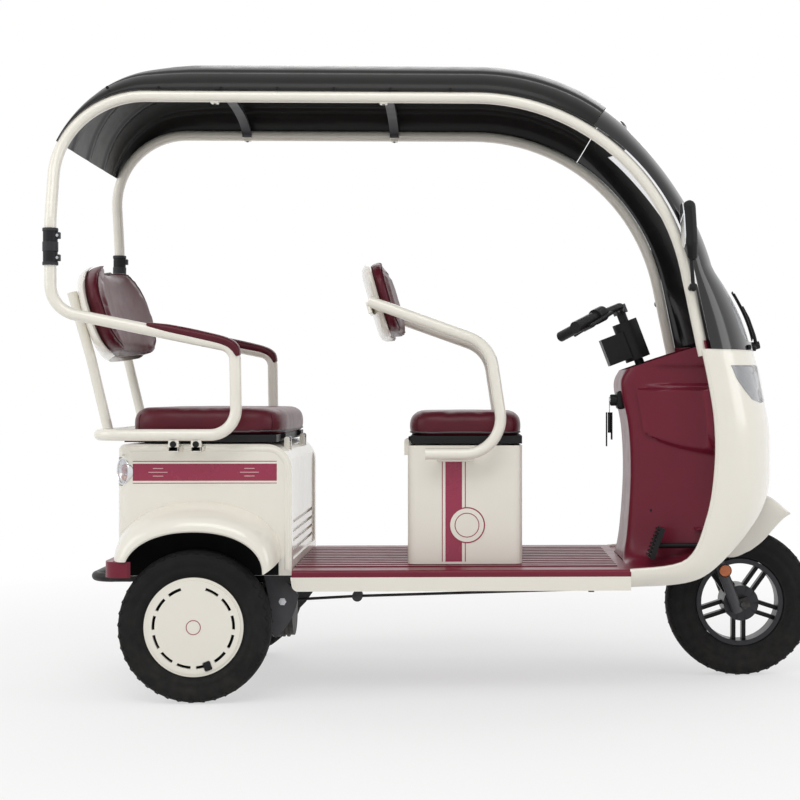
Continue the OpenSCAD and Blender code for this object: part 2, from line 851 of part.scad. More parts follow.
axle_tube_d = 46;
brake_y = rear_wheel_y - 54;
module rear_axle() {
    color(dark) placed()
        translate([0, 0, rear_r]) {
            rotate([90, 0, 0])
                difference() {
                    translate([0, 0, -brake_y]) cylinder(h = 2 * brake_y, d = axle_tube_d);
                    for (s = [-1, 1])
                        translate([0, 0, s * brake_y - 40]) cylinder(h = 80, d = axle_d + 0.1);
                }
            // Differential housing in the middle
            sphere(d = 150);
            rotate([90, 0, 0]) translate([0, 0, -52]) cylinder(h = 104, d = 164);
            // Motor on its front
            translate([60, -74, 0])
                rotate([0, 90, 0]) {
                    cylinder(h = 174, d = 148);
                    for (i = [0 : 8])
                        translate([0, 0, 42 + i * 14]) cylinder(h = 6, d = 158);
                }
            // Brake drums
            for (s = [-1, 1])
                translate([0, s * (brake_y + 9), 0]) rotate([90, 0, 0])
                    difference() {
                        translate([0, 0, -10]) cylinder(h = 20, d = 150);
                        translate([0, 0, -20]) cylinder(h = 40, d = axle_d + 0.1);
                    }
            // Spring seats on the tube
            both_sides()
                translate([-26, spring_y - 26, axle_tube_d / 2 - 8]) cube([52, 52, 14]);
        }
}

spring_y = 262;
spring_foot = rear_r + axle_tube_d / 2 + 6 + seat_gap;
spring_top = store_floor - wall - seat_gap;
module rear_springs() {
    color(black) placed()
        both_sides()
            translate([0, spring_y, 0]) {
                translate([0, 0, spring_foot]) cylinder(h = 18, d = 50);
                translate([0, 0, spring_foot]) cylinder(h = spring_top - spring_foot, d = 30);
                translate([0, 0, spring_top - 14]) cylinder(h = 14, d = 56);
                for (i = [0 : 7])
                    translate([0, 0, spring_foot + 26 + i * 22])
                        rotate_extrude() translate([18, 0]) circle(d = 9, $fn = 24);
            }
}

pivot_x = 425;
rod_y = -205;
rod_z = 262;
pedal_y = -215;
pedal_z = 404;
module brake_rods() {
    color(black) placed() {
        // Lever block on the axle tube, rods and pivot, all on the right
        translate([-12, rod_y - 8, rear_r + axle_tube_d / 2 + seat_gap]) cube([30, 16, 16]);
        rod([4, rod_y, 240], [pivot_x, rod_y, rod_z], 8);
        rod([pivot_x, rod_y, rod_z], [1090, rod_y, rod_z + 18], 8);
        translate([pivot_x, rod_y, rod_z]) rotate([90, 0, 0]) translate([0, 0, -22]) cylinder(h = 32, d = 30);
        translate([pivot_x - 8, -rail_y - 4, rod_z]) cube([16, 16, rail_z - rod_z - seat_gap]);
        translate([1082, rod_y - 8, rod_z + 10]) cube([16, 36, 16]);
        translate([1082, -rail_y - 8, rod_z + 10]) cube([16, 16, rail_z - rod_z - 10 - seat_gap]);
        brake_pedal();
    }
}

// Pedal on an arm that passes through the leg shield
module pedal_arm(grow) {
    translate([1262, pedal_y, pedal_z]) rotate([0, 90, 0]) cylinder(h = 140, d = 16 + 2 * grow);
}
module brake_pedal() {
    pedal_arm(0);
    translate([1276, pedal_y - 14, pedal_z + 8]) rotate([0, 20, 0])
        translate([-10, -31, -46]) cube([14, 62, 92]);
}

// ---------------------------------------------------------------- rear bench

arm_y = post_w / 2 - 12;
bench_base_z = bench_pan_z + 21;
back_post_y = 240;
seat_cross_x = -268;
lug_xs = [-57, 4];
seat_side = [
    post_foot - [0, 0, 1],
    [post_x, post_w / 2, 1062],
    [108, arm_y, 962],
    [112, arm_y, bench_base_z],
    [seat_cross_x, arm_y, bench_base_z]
];
module rear_seat_frame() {
    color(cream) placed() {
        bent_tube(concat(seat_side, reversed(mirrored(seat_side))),
            [84, 44, 70, 60, 60, 70, 44, 84], tube_d);
        both_sides() {
            // Back posts behind the backrest
            bent_tube([
                [seat_cross_x, back_post_y, bench_base_z],
                [-318, back_post_y, 935],
                [-371, back_post_y, 1120]
            ], [80], 28);
            // Lugs bolted to the body's side
            for (x = lug_xs)
                translate([x - 14, rear_half + seat_gap, bench_base_z - 46])
                    cube([28, arm_y - rear_half - seat_gap, 16]);
            for (x = lug_xs)
                translate([x - 14, arm_y - 8, bench_base_z - 46]) cube([28, 16, 42]);
        }
    }
}

function arm_point(t) = through([[-128, 1022.7], [-60, 1008.6], [10, 994.2], [76, 979], [105, 964], [118, 938]], t);
module armrest_pads() {
    color(maroon) placed()
        both_sides()
            difference() {
                for (i = [0 : 5]) hull() {
                    for (k = [i, i + 1]) let (p = arm_point(k / 6))
                        translate([p[0], arm_y + 1, p[1]]) rotate([90, 0, 0])
                            translate([0, 0, -21]) cylinder(h = 42, d = 26, $fn = 16);
                }
                bent_tube(seat_side, [84, 44, 70], tube_d + 1.2, $fn = 24, $bend = 24);
            }
}

back_lean = 16;
back_w = 690;
back_h = 285;
back_bow = 50;
// Curved sheet of the bench backrest: y across, height h up its own slope
function back_row(h, half, off, bow, base) = [
    for (j = [0 : 14]) let (
        u = -1 + 2 * j / 14,
        y = half * u,
        x = -off + bow * u * u
    ) [base[0] - h * sin(back_lean) + x * cos(back_lean), y, base[1] + h * cos(back_lean) + x * sin(back_lean)]
];
// Half width at the share t of the height; the upper corners are the rounder ones on the bench
function back_half(t, w, upper) =
    let (e = abs(2 * t - 1), k = t > 0.5 ? upper : [3.2, 0.36]) w / 2 * pow(max(0, 1 - pow(e, k[0])), k[1]);
function back_grid(w, h, off, bow, base, upper = [3.2, 0.36]) = [
    for (i = [0 : 8]) let (t = mix(0.02, 0.98, ease(i / 8)))
        back_row(h * t, back_half(t, w, upper), off, bow, base)
];
bench_back_base = [-266, 940];
bench_corner = [2.4, 0.5];
module rear_backrest_pad() {
    color(maroon) placed()
        panel_between(
            back_grid(back_w, back_h, -10, back_bow, bench_back_base, bench_corner),
            back_grid(back_w, back_h, 44, back_bow, bench_back_base, bench_corner)
        );
}
module rear_backrest_shell() {
    color(cream) placed()
        panel_between(
            back_grid(back_w, back_h, 44.7, back_bow, bench_back_base, bench_corner),
            back_grid(back_w - 40, back_h - 20, 64, back_bow, bench_back_base, bench_corner)
        );
}

// Seat lids
module rear_seat_pan() {
    color(black) placed() {
        translate([bench_front_x - bench_d + 8, -bench_w / 2 + 10, bench_pan_z])
            cube([bench_d - 8 - 26, bench_w - 20, pan_h]);
        for (y = [-1, 1] * 200) {
            hinge_barrel(bench_hinge, y);
            translate([bench_hinge[0] - 20, y - hinge_len / 2, bench_hinge[1] + 1])
                cube([16, hinge_len, pan_h - 6]);
        }
    }
}

module rear_cushion() {
    color(maroon) placed()
        translate([bench_front_x - bench_d / 2, 0, bench_z])
            rotate([0, 0, 90]) pad(bench_w, bench_d, bench_h, 26);
}

// ---------------------------------------------------------------- driver seat

module seat_box() {
    color(cream) placed() {
        difference() {
            translate([box_x0, -seat_box_w / 2, deck_z + seat_gap])
                linear_extrude(height = seat_box_top - deck_z - seat_gap)
                    rounded_square([box_x1 - box_x0, seat_box_w], 24);
            translate([box_x0 + wall, -seat_box_w / 2 + wall, deck_z + 200])
                linear_extrude(height = 400)
                    rounded_square([box_x1 - box_x0 - 2 * wall, seat_box_w - 2 * wall], 20);
            translate([box_x0 + wall, -seat_box_w / 2 + wall, deck_z + 7])
                linear_extrude(height = 187)
                    rounded_square([box_x1 - box_x0 - 2 * wall, seat_box_w - 2 * wall], 20);
        }
        for (y = [-1, 1] * 130) driver_hinge_bracket(y);
    }
}

module driver_hinge_bracket(y) {
    for (s = [-1, 1])
        translate([driver_hinge[0], y + s * (hinge_len / 2 + ear / 2 + 1) + ear / 2, driver_hinge[1]])
            rotate([90, 0, 0])
                linear_extrude(height = ear) {
                    circle(r = hinge_r);
                    translate([-hinge_r, -40]) square([hinge_r * 2, 40]);
                }
    translate([driver_hinge[0], y + hinge_len / 2 + 4, driver_hinge[1]])
        rotate([90, 0, 0]) cylinder(h = hinge_len + 8, r = hinge_pin_r);
}

module driver_seat_pan() {
    color(black) placed() {
        translate([box_x0 + 8, -driver_w / 2 + 12, driver_pan_z])
            cube([driver_d - 26, driver_w - 24, pan_h + 2]);
        for (y = [-1, 1] * 130) {
            hinge_barrel(driver_hinge, y);
            translate([driver_hinge[0] + 5, y - hinge_len / 2, driver_hinge[1] + 1])
                cube([14, hinge_len, pan_h - 8]);
        }
    }
}

module driver_cushion() {
    color(maroon) placed()
        translate([driver_rear_x + driver_d / 2, 0, driver_z])
            rotate([0, 0, 90]) pad(driver_w, driver_d, driver_h, 24);
}

driver_arm_y = driver_w / 2 + tube_d / 2 + 28;
driver_back_base = [536, 1000];
driver_back_w = 540;
module driver_seat_frame() {
    color(cream) placed()
        both_sides()
            bent_tube([
                [462, driver_arm_y, 1094.5],
                [800, driver_arm_y, 974],
                [846, driver_arm_y, seat_box_top - 22],
                [620, driver_arm_y, seat_box_top - 22]
            ], [105, 100], tube_d);
    color(cream) placed()
        both_sides() {
            translate([652, seat_box_w / 2 + seat_gap, seat_box_top - 44])
                cube([104, driver_arm_y - seat_box_w / 2 - 6, 36]);
            // Plate behind the backrest
            translate([driver_back_base[0], 0, driver_back_base[1]]) rotate([0, -back_lean, 0])
                translate([-54, 185, 76]) cube([9.6, driver_arm_y + 8 - 185, 34]);
        }
}

module driver_backrest_pad() {
    color(maroon) placed()
        panel_between(
            back_grid(driver_back_w, 238, -6, 22, driver_back_base),
            back_grid(driver_back_w, 238, 36, 22, driver_back_base)
        );
}
module driver_backrest_shell() {
    color(cream) placed() {
        panel_between(
            back_grid(driver_back_w, 238, 36.7, 22, driver_back_base),
            back_grid(driver_back_w - 28, 224, 56, 22, driver_back_base)
        );
    }
}

// ---------------------------------------------------------------- steering

leg_top = crown_at + crown_h;
module steering_fork() {
    color(black) placed() steer_frame() {
        // Stem through the head tube
        translate([0, 0, crown_at]) cylinder(h = stem_top - crown_at, d = stem_d);
        // Crown and legs
        translate([-30, -fork_spread / 2 - 18, crown_at]) cube([60, fork_spread + 36, crown_h]);
        both_sides() {
            translate([0, fork_spread / 2, 150]) cylinder(h = leg_top - 150, d = 26);
            translate([0, fork_spread / 2, -18]) cylinder(h = 200, d = 32);
            translate([-10, fork_spread / 2 - 8, -14]) cube([fork_offset + 30, 16, 30]);
            translate([fork_offset, fork_spread / 2 + 8, 0]) rotate([90, 0, 0]) cylinder(h = 16, d = 32);
        }
        translate([fork_offset, fork_spread / 2 + 16, 0])
            rotate([90, 0, 0]) cylinder(h = fork_spread + 32, d = axle_d);
    }
}

// Mudguard round the tyre, by the angle a about the front axle, from its tip back under the crown
guard_half = 58;
guard_from = 61;
guard_to = 128;
guard_rows = 16;
guard_cols = 12;
function guard_top(t) = front_r + through([87, 108, 104, 102, 100, 90], t);
function guard_low(t) = front_r + through([82, -13, -53, -70, -79, -79, -70, -50, -8], t);
function guard_row(t, wall) = let (a = mix(guard_from, guard_to, t), low = guard_low(t)) [
    for (j = [0 : guard_cols]) let (
        b = 180 * j / guard_cols,
        r = mix(low, guard_top(t) - wall, pow(sin(b), 0.4))
    ) [wheelbase + r * cos(a), (guard_half - wall) * sign(cos(b)) * pow(abs(cos(b)), 0.5), front_r + r * sin(a)]
];
function guard_grid(wall) = [for (i = [0 : guard_rows]) guard_row(i / guard_rows, wall)];
module front_mudguard() {
    color(cream) placed() {
        panel_between(guard_grid(0), guard_grid(panel));
        // Block that bolts it under the crown
        steer_frame() translate([0, -20, crown_at - 9]) cube([26, 40, 9 - seat_gap]);
    }
}

// Point given in the steering's own frame: ahead of its axis, across, and up along it
function steer_point(x, y, h) = [
    steer_x + x * cos(rake) - h * sin(rake), y, steer_z + x * sin(rake) + h * cos(rake)
];
bar_path = [
    steer_point(0, 40, stem_top + 13), steer_point(-6, 100, stem_top + 21),
    steer_point(-72, 212, stem_top + 18), [1040, bar_w / 2 - 8, grip_z]
];
module handlebar() {
    color(black) placed() {
        bent_tube(concat(reversed(bar_path), mirrored(bar_path)), [70, 70, 60, 60, 70, 70], 22);
        steer_frame() translate([0, 0, stem_top]) cylinder(h = 26, d = 44);
    }
}

grip_dir = unit(bar_path[3] - bar_path[2]);
module grips_and_levers() {
    color(black) placed()
        both_sides() {
            difference() {
                rod(bar_path[3] - grip_dir * 118, bar_path[3] + grip_dir * 8, 33);
                rod(bar_path[3] - grip_dir * 140, bar_path[3] + grip_dir * 1, 22.6);
            }
            // Switch housing
            difference() {
                rod(bar_path[2] - grip_dir * -2, bar_path[2] + grip_dir * 44, 44);
                rod(bar_path[2] - grip_dir * 20, bar_path[2] + grip_dir * 60, 22.6);
            }
            // Brake lever
            rod(bar_path[2] + [26, 8, 2], bar_path[3] + [40, 0, 2], 11);
        }
    color(black) placed() column_shroud();
}

// Cover round the stem with the lock's box behind it
module column_shroud() {
    steer_frame()
        difference() {
            union() {
                translate([0, 0, 782]) cylinder(h = 118, d = 76);
                translate([-88, -38, 792]) cube([70, 76, 82]);
            }
            translate([0, 0, 700]) cylinder(h = 400, d = stem_d + 0.6);
        }
}

// ---------------------------------------------------------------- wheels

// Half profile of a tyre: x outwards from the axle, y across
module tyre_profile(r, w) {
    bead = rim_d / 2;
    difference() {
        union() {
            hull() {
                translate([r - 24, w / 2 - 24]) circle(r = 24);
                translate([r - 24, -w / 2 + 24]) circle(r = 24);
                translate([bead, -w / 2 + 12]) square([1, w - 24]);
            }
        }
    }
}

module tyre(r, w) {
    rotate([90, 0, 0]) rotate_extrude($fn = 72) tyre_profile(r, w);
}

// Rim with a barrel, bead flanges and a hub with the axle's bore
module rim_barrel(w, hub_d, hub_w) {
    rotate([90, 0, 0]) {
        rotate_extrude($fn = 72)
            difference() {
                translate([rim_d / 2 - 14 - seat_gap, -w / 2 + 12]) square([14, w - 24]);
                translate([rim_d / 2 - 8 - seat_gap, -w / 2 + 20]) square([10, w - 40]);
            }
        difference() {
            translate([0, 0, -hub_w / 2]) cylinder(h = hub_w, d = hub_d);
            translate([0, 0, -hub_w]) cylinder(h = 2 * hub_w, d = axle_d + 0.1);
        }
    }
}

module front_tyre() {
    color(black) placed() translate([wheelbase, 0, front_r]) tyre(front_r, front_tyre_w);
}

spokes = 5;
module front_rim() {
    color(black) placed() translate([wheelbase, 0, front_r]) {
        rim_barrel(front_tyre_w, 104, 108);
        for (i = [0 : spokes - 1])
            rotate([0, i * 360 / spokes + 18, 0])
                for (s = [-1, 1])
                    translate([48, -12, s * 15 - 6]) cube([rim_d / 2 - 60, 24, 12]);
    }
}

module rear_rim(side) {
    color(black) placed() translate([0, side * rear_wheel_y, rear_r]) {
        rim_barrel(rear_tyre_w, 92, 56);
        rotate([90, 0, 0])
            difference() {
                translate([0, 0, -4]) cylinder(h = 8, d = rim_d - 20);
                translate([0, 0, -10]) cylinder(h = 20, d = 80);
            }
        // Stub axle into the axle tube
        rotate([90, 0, 0]) translate([0, 0, -27]) cylinder(h = 54, d = axle_d + 2);
        translate([0, -side * 20, 0]) rotate([side * 90, 0, 0]) cylinder(h = 64, d = axle_d);
    }
}

module rear_tyre(side) {
    color(black) placed() translate([0, side * rear_wheel_y, rear_r]) tyre(rear_r, rear_tyre_w);
}

// Slots along the cover's edge; the valve's place is left closed
cover_places = 13;
slot_turn = 20;
module wheel_cover(side) {
    color(cream) placed()
        translate([0, side * (rear_wheel_y + rear_tyre_w / 2 - 10), rear_r])
            rotate([side * -90, 0, 0])
                difference() {
                    union() {
                        cylinder(h = 8, d = cover_d - 16);
                        cylinder(h = 4, d = cover_d);
                        translate([0, 0, seat_gap - 2]) cylinder(h = 3, d = rim_d - 12);
                    }
                    for (i = [1 : cover_places - 1])
                        rotate([0, 0, 90 + i * 360 / cover_places - slot_turn / 2])
                            rotate_extrude(angle = slot_turn)
                                translate([cover_d / 2 - 30, -5]) square([8, 20]);
                }
}

chassis_frame();
floor_deck();
side_skirts();
front_fairing();
headlamps();
leg_shield();
canopy_frame();
post_sleeves();
canopy_roof();
screen_frame();
windscreen();
mirrors();
rear_body();
rear_fenders();
tail_lamps();
rear_bumper();
bumper_tube();
battery_pack();
rear_axle();
rear_springs();
brake_rods();
rear_seat_frame();
armrest_pads();
rear_backrest_shell();
rear_backrest_pad();
seat_box();
driver_seat_frame();
driver_backrest_shell();
driver_backrest_pad();
rear_seat_pan();
rear_cushion();
driver_seat_pan();
driver_cushion();
steering_fork();
front_mudguard();
handlebar();
grips_and_levers();
front_rim();
front_tyre();
rear_rim(-1);  // rear_rim_right
rear_tyre(-1);  // rear_tyre_right
wheel_cover(-1);  // wheel_cover_right
rear_rim(1);  // rear_rim_left
rear_tyre(1);  // rear_tyre_left
wheel_cover(1);  // wheel_cover_left
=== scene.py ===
# Covered electric passenger tricycle, dressed round its solid parts. Metres; +X forward, +Y left, +Z up.
import math
import bpy
import bmesh
from mathutils import Matrix, Vector
from mathutils.bvhtree import BVHTree


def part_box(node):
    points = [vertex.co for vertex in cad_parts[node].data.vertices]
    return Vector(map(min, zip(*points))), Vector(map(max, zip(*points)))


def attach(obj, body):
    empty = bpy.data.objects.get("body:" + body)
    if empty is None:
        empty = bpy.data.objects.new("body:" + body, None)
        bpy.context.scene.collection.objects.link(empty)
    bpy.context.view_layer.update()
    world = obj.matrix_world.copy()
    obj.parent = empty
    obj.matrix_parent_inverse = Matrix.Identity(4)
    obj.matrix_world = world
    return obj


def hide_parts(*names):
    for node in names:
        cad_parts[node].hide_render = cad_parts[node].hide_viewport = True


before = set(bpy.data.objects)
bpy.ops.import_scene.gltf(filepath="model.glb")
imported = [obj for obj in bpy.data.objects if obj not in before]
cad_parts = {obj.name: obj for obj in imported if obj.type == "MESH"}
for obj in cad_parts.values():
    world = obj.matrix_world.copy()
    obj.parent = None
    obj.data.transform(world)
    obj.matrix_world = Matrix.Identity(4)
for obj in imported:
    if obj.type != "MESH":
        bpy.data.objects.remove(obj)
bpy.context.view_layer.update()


# ---- Studio: camera, floor, backdrop and lamps. A long lens looks square at the right side from the
# height of the driver's cushion. The floor and backdrop are pale paper that shows white to the camera.
PAPER_GLOW, SKY_LIGHT = 0.55, 0.55
GLOW_FROM, GLOW_TO = 0.7, 3.2
FLOOR_HALF = 60


def fill(tree, node, inputs):
    """Fills a node's inputs, each given as a value or as the output that feeds it."""
    for key, value in inputs.items():
        if isinstance(value, bpy.types.NodeSocket):
            tree.links.new(value, node.inputs[key])
        else:
            node.inputs[key].default_value = value


def node_in(tree, kind, inputs, **settings):
    made = tree.nodes.new(kind)
    for key, value in settings.items():
        setattr(made, key, value)
    fill(tree, made, inputs)
    return made


def multiplied(tree, first, second):
    return node_in(tree, "ShaderNodeMath", {0: first, 1: second}, operation="MULTIPLY").outputs[0]


def blank_finish(name):
    """A new material, its node tree and its surface node."""
    made = bpy.data.materials.new(name)
    made.use_nodes = True
    return made, made.node_tree, made.node_tree.nodes["Principled BSDF"]


def added(name, data):
    made = bpy.data.objects.new(name, data)
    bpy.context.scene.collection.objects.link(made)
    return made


def mesh_object(name, vertices, faces):
    mesh = bpy.data.meshes.new(name)
    mesh.from_pydata([tuple(v) for v in vertices], [], faces)
    return added(name, mesh)


def rays_that_show_it(tree):
    """The paper and the sky show white to the camera, and in paint, metal and glass."""
    seen = tree.nodes.new("ShaderNodeLightPath")
    out = seen.outputs["Is Camera Ray"]
    for ray in ("Is Glossy Ray", "Is Transmission Ray"):
        out = node_in(tree, "ShaderNodeMath", {0: out, 1: seen.outputs[ray]}, operation="MAXIMUM").outputs[0]
    return out


def paper(name, shade):
    """Matte paper that glows more the farther it lies from the vehicle, so it has no horizon line."""
    finish, tree, matte = blank_finish(name)
    fill(tree, matte, {"Base Color": (*shade, 1), "Roughness": 0.8})
    glow = node_in(tree, "ShaderNodeEmission", {"Color": (1, 1, 1, 1)})
    place = tree.nodes.new("ShaderNodeTexCoord")
    distance = node_in(tree, "ShaderNodeVectorMath", {0: place.outputs["Object"]}, operation="LENGTH")
    fade = node_in(tree, "ShaderNodeMapRange", {
        "Value": distance.outputs["Value"], "From Min": GLOW_FROM, "From Max": GLOW_TO,
        "To Min": PAPER_GLOW, "To Max": 1.0})
    share = multiplied(tree, fade.outputs[0], rays_that_show_it(tree))
    mix = node_in(tree, "ShaderNodeMixShader", {"Fac": share, 1: matte.outputs[0], 2: glow.outputs[0]})
    fill(tree, tree.nodes["Material Output"], {"Surface": mix.outputs[0]})
    return finish


def studio():
    camera = added("studio_camera", bpy.data.cameras.new("studio_camera"))
    camera.data.lens = 69.75
    camera.data.sensor_width = 36
    camera.data.shift_x = -0.1358
    camera.data.shift_y = -0.005
    camera.location = (0.060, -4.618, 0.830)
    camera.rotation_euler = (math.radians(90), 0, math.radians(-1.5))
    bpy.context.scene.camera = camera
    corners = [(x * FLOOR_HALF, y * FLOOR_HALF, 0) for x, y in ((-1, -1), (1, -1), (1, 1), (-1, 1))]
    floor = mesh_object("studio_floor", corners, [(0, 1, 2, 3)])
    floor.data.materials.append(paper("floor_paper", (0.86, 0.86, 0.86)))
    for name, place, aim, size, power in (
        ("key_lamp", (-0.4, -3.6, 4.6), (0.1, 0, 0.7), (3.4, 2.2), 72),
        ("front_lamp", (4.4, -1.6, 2.2), (0.3, 0, 0.7), (2.2, 2.6), 40),
        ("rear_lamp", (-4.2, -1.8, 2.4), (-0.3, 0, 0.8), (2.2, 2.6), 35),
        ("back_lamp", (0.2, 3.6, 3.2), (0, 0, 0.8), (3.2, 2.0), 30),
    ):
        lamp = added(name, bpy.data.lights.new(name, "AREA"))
        lamp.data.shape = "RECTANGLE"
        lamp.data.size, lamp.data.size_y = size
        lamp.data.energy = power
        lamp.location = place
        lamp.rotation_euler = (Vector(aim) - Vector(place)).to_track_quat("-Z", "Y").to_euler()
    world = bpy.data.worlds.new("studio_world")
    bpy.context.scene.world = world
    world.use_nodes = True
    tree = world.node_tree
    strength = node_in(tree, "ShaderNodeMapRange", {
        "Value": rays_that_show_it(tree), "To Min": SKY_LIGHT, "To Max": 1.0})
    fill(tree, tree.nodes["Background"], {"Color": (1, 1, 1, 1), "Strength": strength.outputs[0]})
    bpy.context.scene.view_settings.view_transform = "Standard"


studio()


# ---- Chassis: welded steel rails, side plates and head tube, with the live axle, springs, bumper tube
# and brake linkage bolted under them. All of it is satin black paint over steel, a little dusty low down.
wheel_low, wheel_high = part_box("rear_tyre_right")
rear_axle_x = (wheel_low.x + wheel_high.x) / 2
MAIN = "main_body"
ROAD_DUST = (0.30, 0.27, 0.23)


def at(x, y, z):
    """A place given in millimetres from the middle of the rear axle, on the ground."""
    return Vector((rear_axle_x + x / 1000, y / 1000, z / 1000))

ORIGIN = at(0, 0, 0)


def finish_of(name, colour, roughness, *, shade=0.06, grain=900, depth=0.04, swell=0, metal=0,
              coat=0, sheen=0, dust=0, wear=None, gleam=0.5):
    """A moulded, painted or sewn finish: colour drift, fine grain, slow swell, dust low down and worn edges."""
    made, tree, skin = blank_finish(name)
    spot = tree.nodes.new("ShaderNodeTexCoord").outputs["Object"]

    def noise(scale, detail):
        return node_in(tree, "ShaderNodeTexNoise", {"Vector": spot, "Scale": scale, "Detail": detail}).outputs["Fac"]

    def ramp(source, low, high, from_low=0.3, from_high=0.7):
        return node_in(tree, "ShaderNodeMapRange", {
            "Value": source, "From Min": from_low, "From Max": from_high, "To Min": low, "To Max": high}).outputs[0]

    def blend(first, second, amount):
        first, second = ((*c, 1) if isinstance(c, tuple) else c for c in (first, second))
        return node_in(tree, "ShaderNodeMix", {"Factor": amount, 6: first, 7: second}, data_type="RGBA").outputs[2]

    darker = tuple(c * (1 - shade) for c in colour)
    paint = blend(darker, colour, ramp(noise(7, 4), 0, 1))
    if dust:
        height = node_in(tree, "ShaderNodeSeparateXYZ", {0: spot})
        low_down = ramp(height.outputs["Z"], dust, 0, 0.02, 0.42)
        paint = blend(paint, ROAD_DUST, multiplied(tree, low_down, ramp(noise(38, 6), 0.1, 1)))
    if wear:
        edge = tree.nodes.new("ShaderNodeNewGeometry")
        paint = blend(paint, wear, ramp(edge.outputs["Pointiness"], 0, 0.75, 0.52, 0.60))
    bump = node_in(tree, "ShaderNodeBump", {"Strength": depth, "Distance": 0.0006, "Height": noise(grain, 2)})
    if swell:
        slow = node_in(tree, "ShaderNodeBump", {"Strength": swell, "Distance": 0.002, "Height": noise(9, 2)})
        fill(tree, bump, {"Normal": slow.outputs[0]})
    fill(tree, skin, {
        "Metallic": metal, "Specular IOR Level": gleam, "Coat Weight": coat, "Coat Roughness": 0.08,
        "Sheen Weight": sheen, "Base Color": paint, "Normal": bump.outputs[0],
        "Roughness": ramp(noise(24, 5), roughness * 0.88, roughness * 1.12)})
    return made


def dress(finish, *nodes):
    """Gives solid parts' own objects their finish."""
    for node in nodes:
        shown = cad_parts[node]
        if not shown.data.materials:
            shown.data.materials.append(finish)
        for place in shown.material_slots:
            place.material = finish


def piece(name, vertices, faces, finish, slot, body=MAIN, crease=38):
    """A finished mesh piece at the origin: doubles merged, faces outward, smooth but for its creases."""
    made = mesh_object(name, vertices, faces)
    made.data.materials.append(finish)
    tidy(made, crease)
    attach(made, body)
    return made


def tidy(made, crease=38, weld=0.00001):
    form = bmesh.new()
    form.from_mesh(made.data)
    bmesh.ops.remove_doubles(form, verts=form.verts, dist=weld)
    bmesh.ops.dissolve_degenerate(form, edges=form.edges, dist=weld)
    bmesh.ops.recalc_face_normals(form, faces=form.faces)
    for face in form.faces:
        face.smooth = True
    form.to_mesh(made.data)
    form.free()
    made.data.set_sharp_from_angle(angle=math.radians(crease))


def applied(made, **kind_settings):
    """Applies one modifier, given as kind and settings, and leaves a plain mesh."""
    modifier = made.modifiers.new("step", kind_settings.pop("kind"))
    for key, value in kind_settings.items():
        setattr(modifier, key, value)
    graph = bpy.context.evaluated_depsgraph_get()
    baked = bpy.data.meshes.new_from_object(made.evaluated_get(graph))
    made.modifiers.remove(modifier)
    made.data = baked
    return made


def sweep(path, radius, sides=20, closed=False, flat=1.0, up=None):
    """Rings of a round or flattened bar along a path, its open ends capped flat. Gives vertices and faces."""
    path = [Vector(p) for p in path]
    count = len(path)
    radii = radius if isinstance(radius, (list, tuple)) else [radius] * count
    vertices, faces = [], []
    normal = None
    for i, p in enumerate(path):
        ahead = path[(i + 1) % count] if closed or i < count - 1 else p
        behind = path[i - 1] if closed or i else p
        along = (ahead - behind).normalized()
        if normal is None:
            guess = Vector(up) if up else (Vector((0, 0, 1)) if abs(along.z) < 0.9 else Vector((1, 0, 0)))
            normal = (guess - along * guess.dot(along)).normalized()
        elif up:
            normal = (Vector(up) - along * Vector(up).dot(along)).normalized()
        else:
            normal = (normal - along * normal.dot(along)).normalized()
        side = along.cross(normal)
        for k in range(sides):
            a = 2 * math.pi * k / sides
            vertices.append(p + (normal * math.cos(a) * flat + side * math.sin(a)) * radii[i])
    for i in range(count if closed else count - 1):
        j = (i + 1) % count
        for k in range(sides):
            m = (k + 1) % sides
            faces.append((i * sides + k, i * sides + m, j * sides + m, j * sides + k))
    if not closed:
        faces.append(tuple(range(sides))[::-1])
        faces.append(tuple((count - 1) * sides + k for k in range(sides)))
    return vertices, faces


def bent(points, radii, step=5):
    """The centreline of a bent tube: straight runs joined by arcs of the given radii. Millimetres."""
    points = [Vector(p) for p in points]
    line = [points[0]]
    for i in range(1, len(points) - 1):
        before, corner, after = points[i - 1], points[i], points[i + 1]
        first, second = (before - corner).normalized(), (after - corner).normalized()
        turn = math.pi - first.angle(second)
        reach = radii[i - 1] * math.tan(turn / 2)
        start = corner + first * reach
        centre = corner + (first + second).normalized() * (radii[i - 1] / math.cos(turn / 2))
        arm = start - centre
        axis = arm.cross(corner + second * reach - centre).normalized()
        steps = max(3, math.ceil(math.degrees(turn) / step))
        for k in range(steps + 1):
            line.append(centre + Matrix.Rotation(turn * k / steps, 3, axis) @ arm)
    line.append(points[-1])
    return [at(*p) for p in line]


def lathe(profile, centre, axis="Y", steps=64):
    """A turned form. The profile is (radius, distance along the axis) in millimetres, closed or on the axis."""
    vertices, faces = [], []
    count = len(profile)
    for k in range(steps):
        a = 2 * math.pi * k / steps
        for radius, along in profile:
            u, v, w = radius * math.cos(a), along, radius * math.sin(a)
            spot = {"Y": (u, v, w), "X": (v, u, w), "Z": (u, w, v)}[axis]
            vertices.append(centre + Vector(spot) / 1000)
    for k in range(steps):
        j = (k + 1) % steps
        for i in range(count - 1):
            faces.append((k * count + i, k * count + i + 1, j * count + i + 1, j * count + i))
    return vertices, faces


def joined(*parts):
    """Several lists of vertices and faces as one."""
    vertices, faces = [], []
    for more_vertices, more_faces in parts:
        base = len(vertices)
        vertices += more_vertices
        faces += [tuple(base + i for i in face) for face in more_faces]
    return vertices, faces


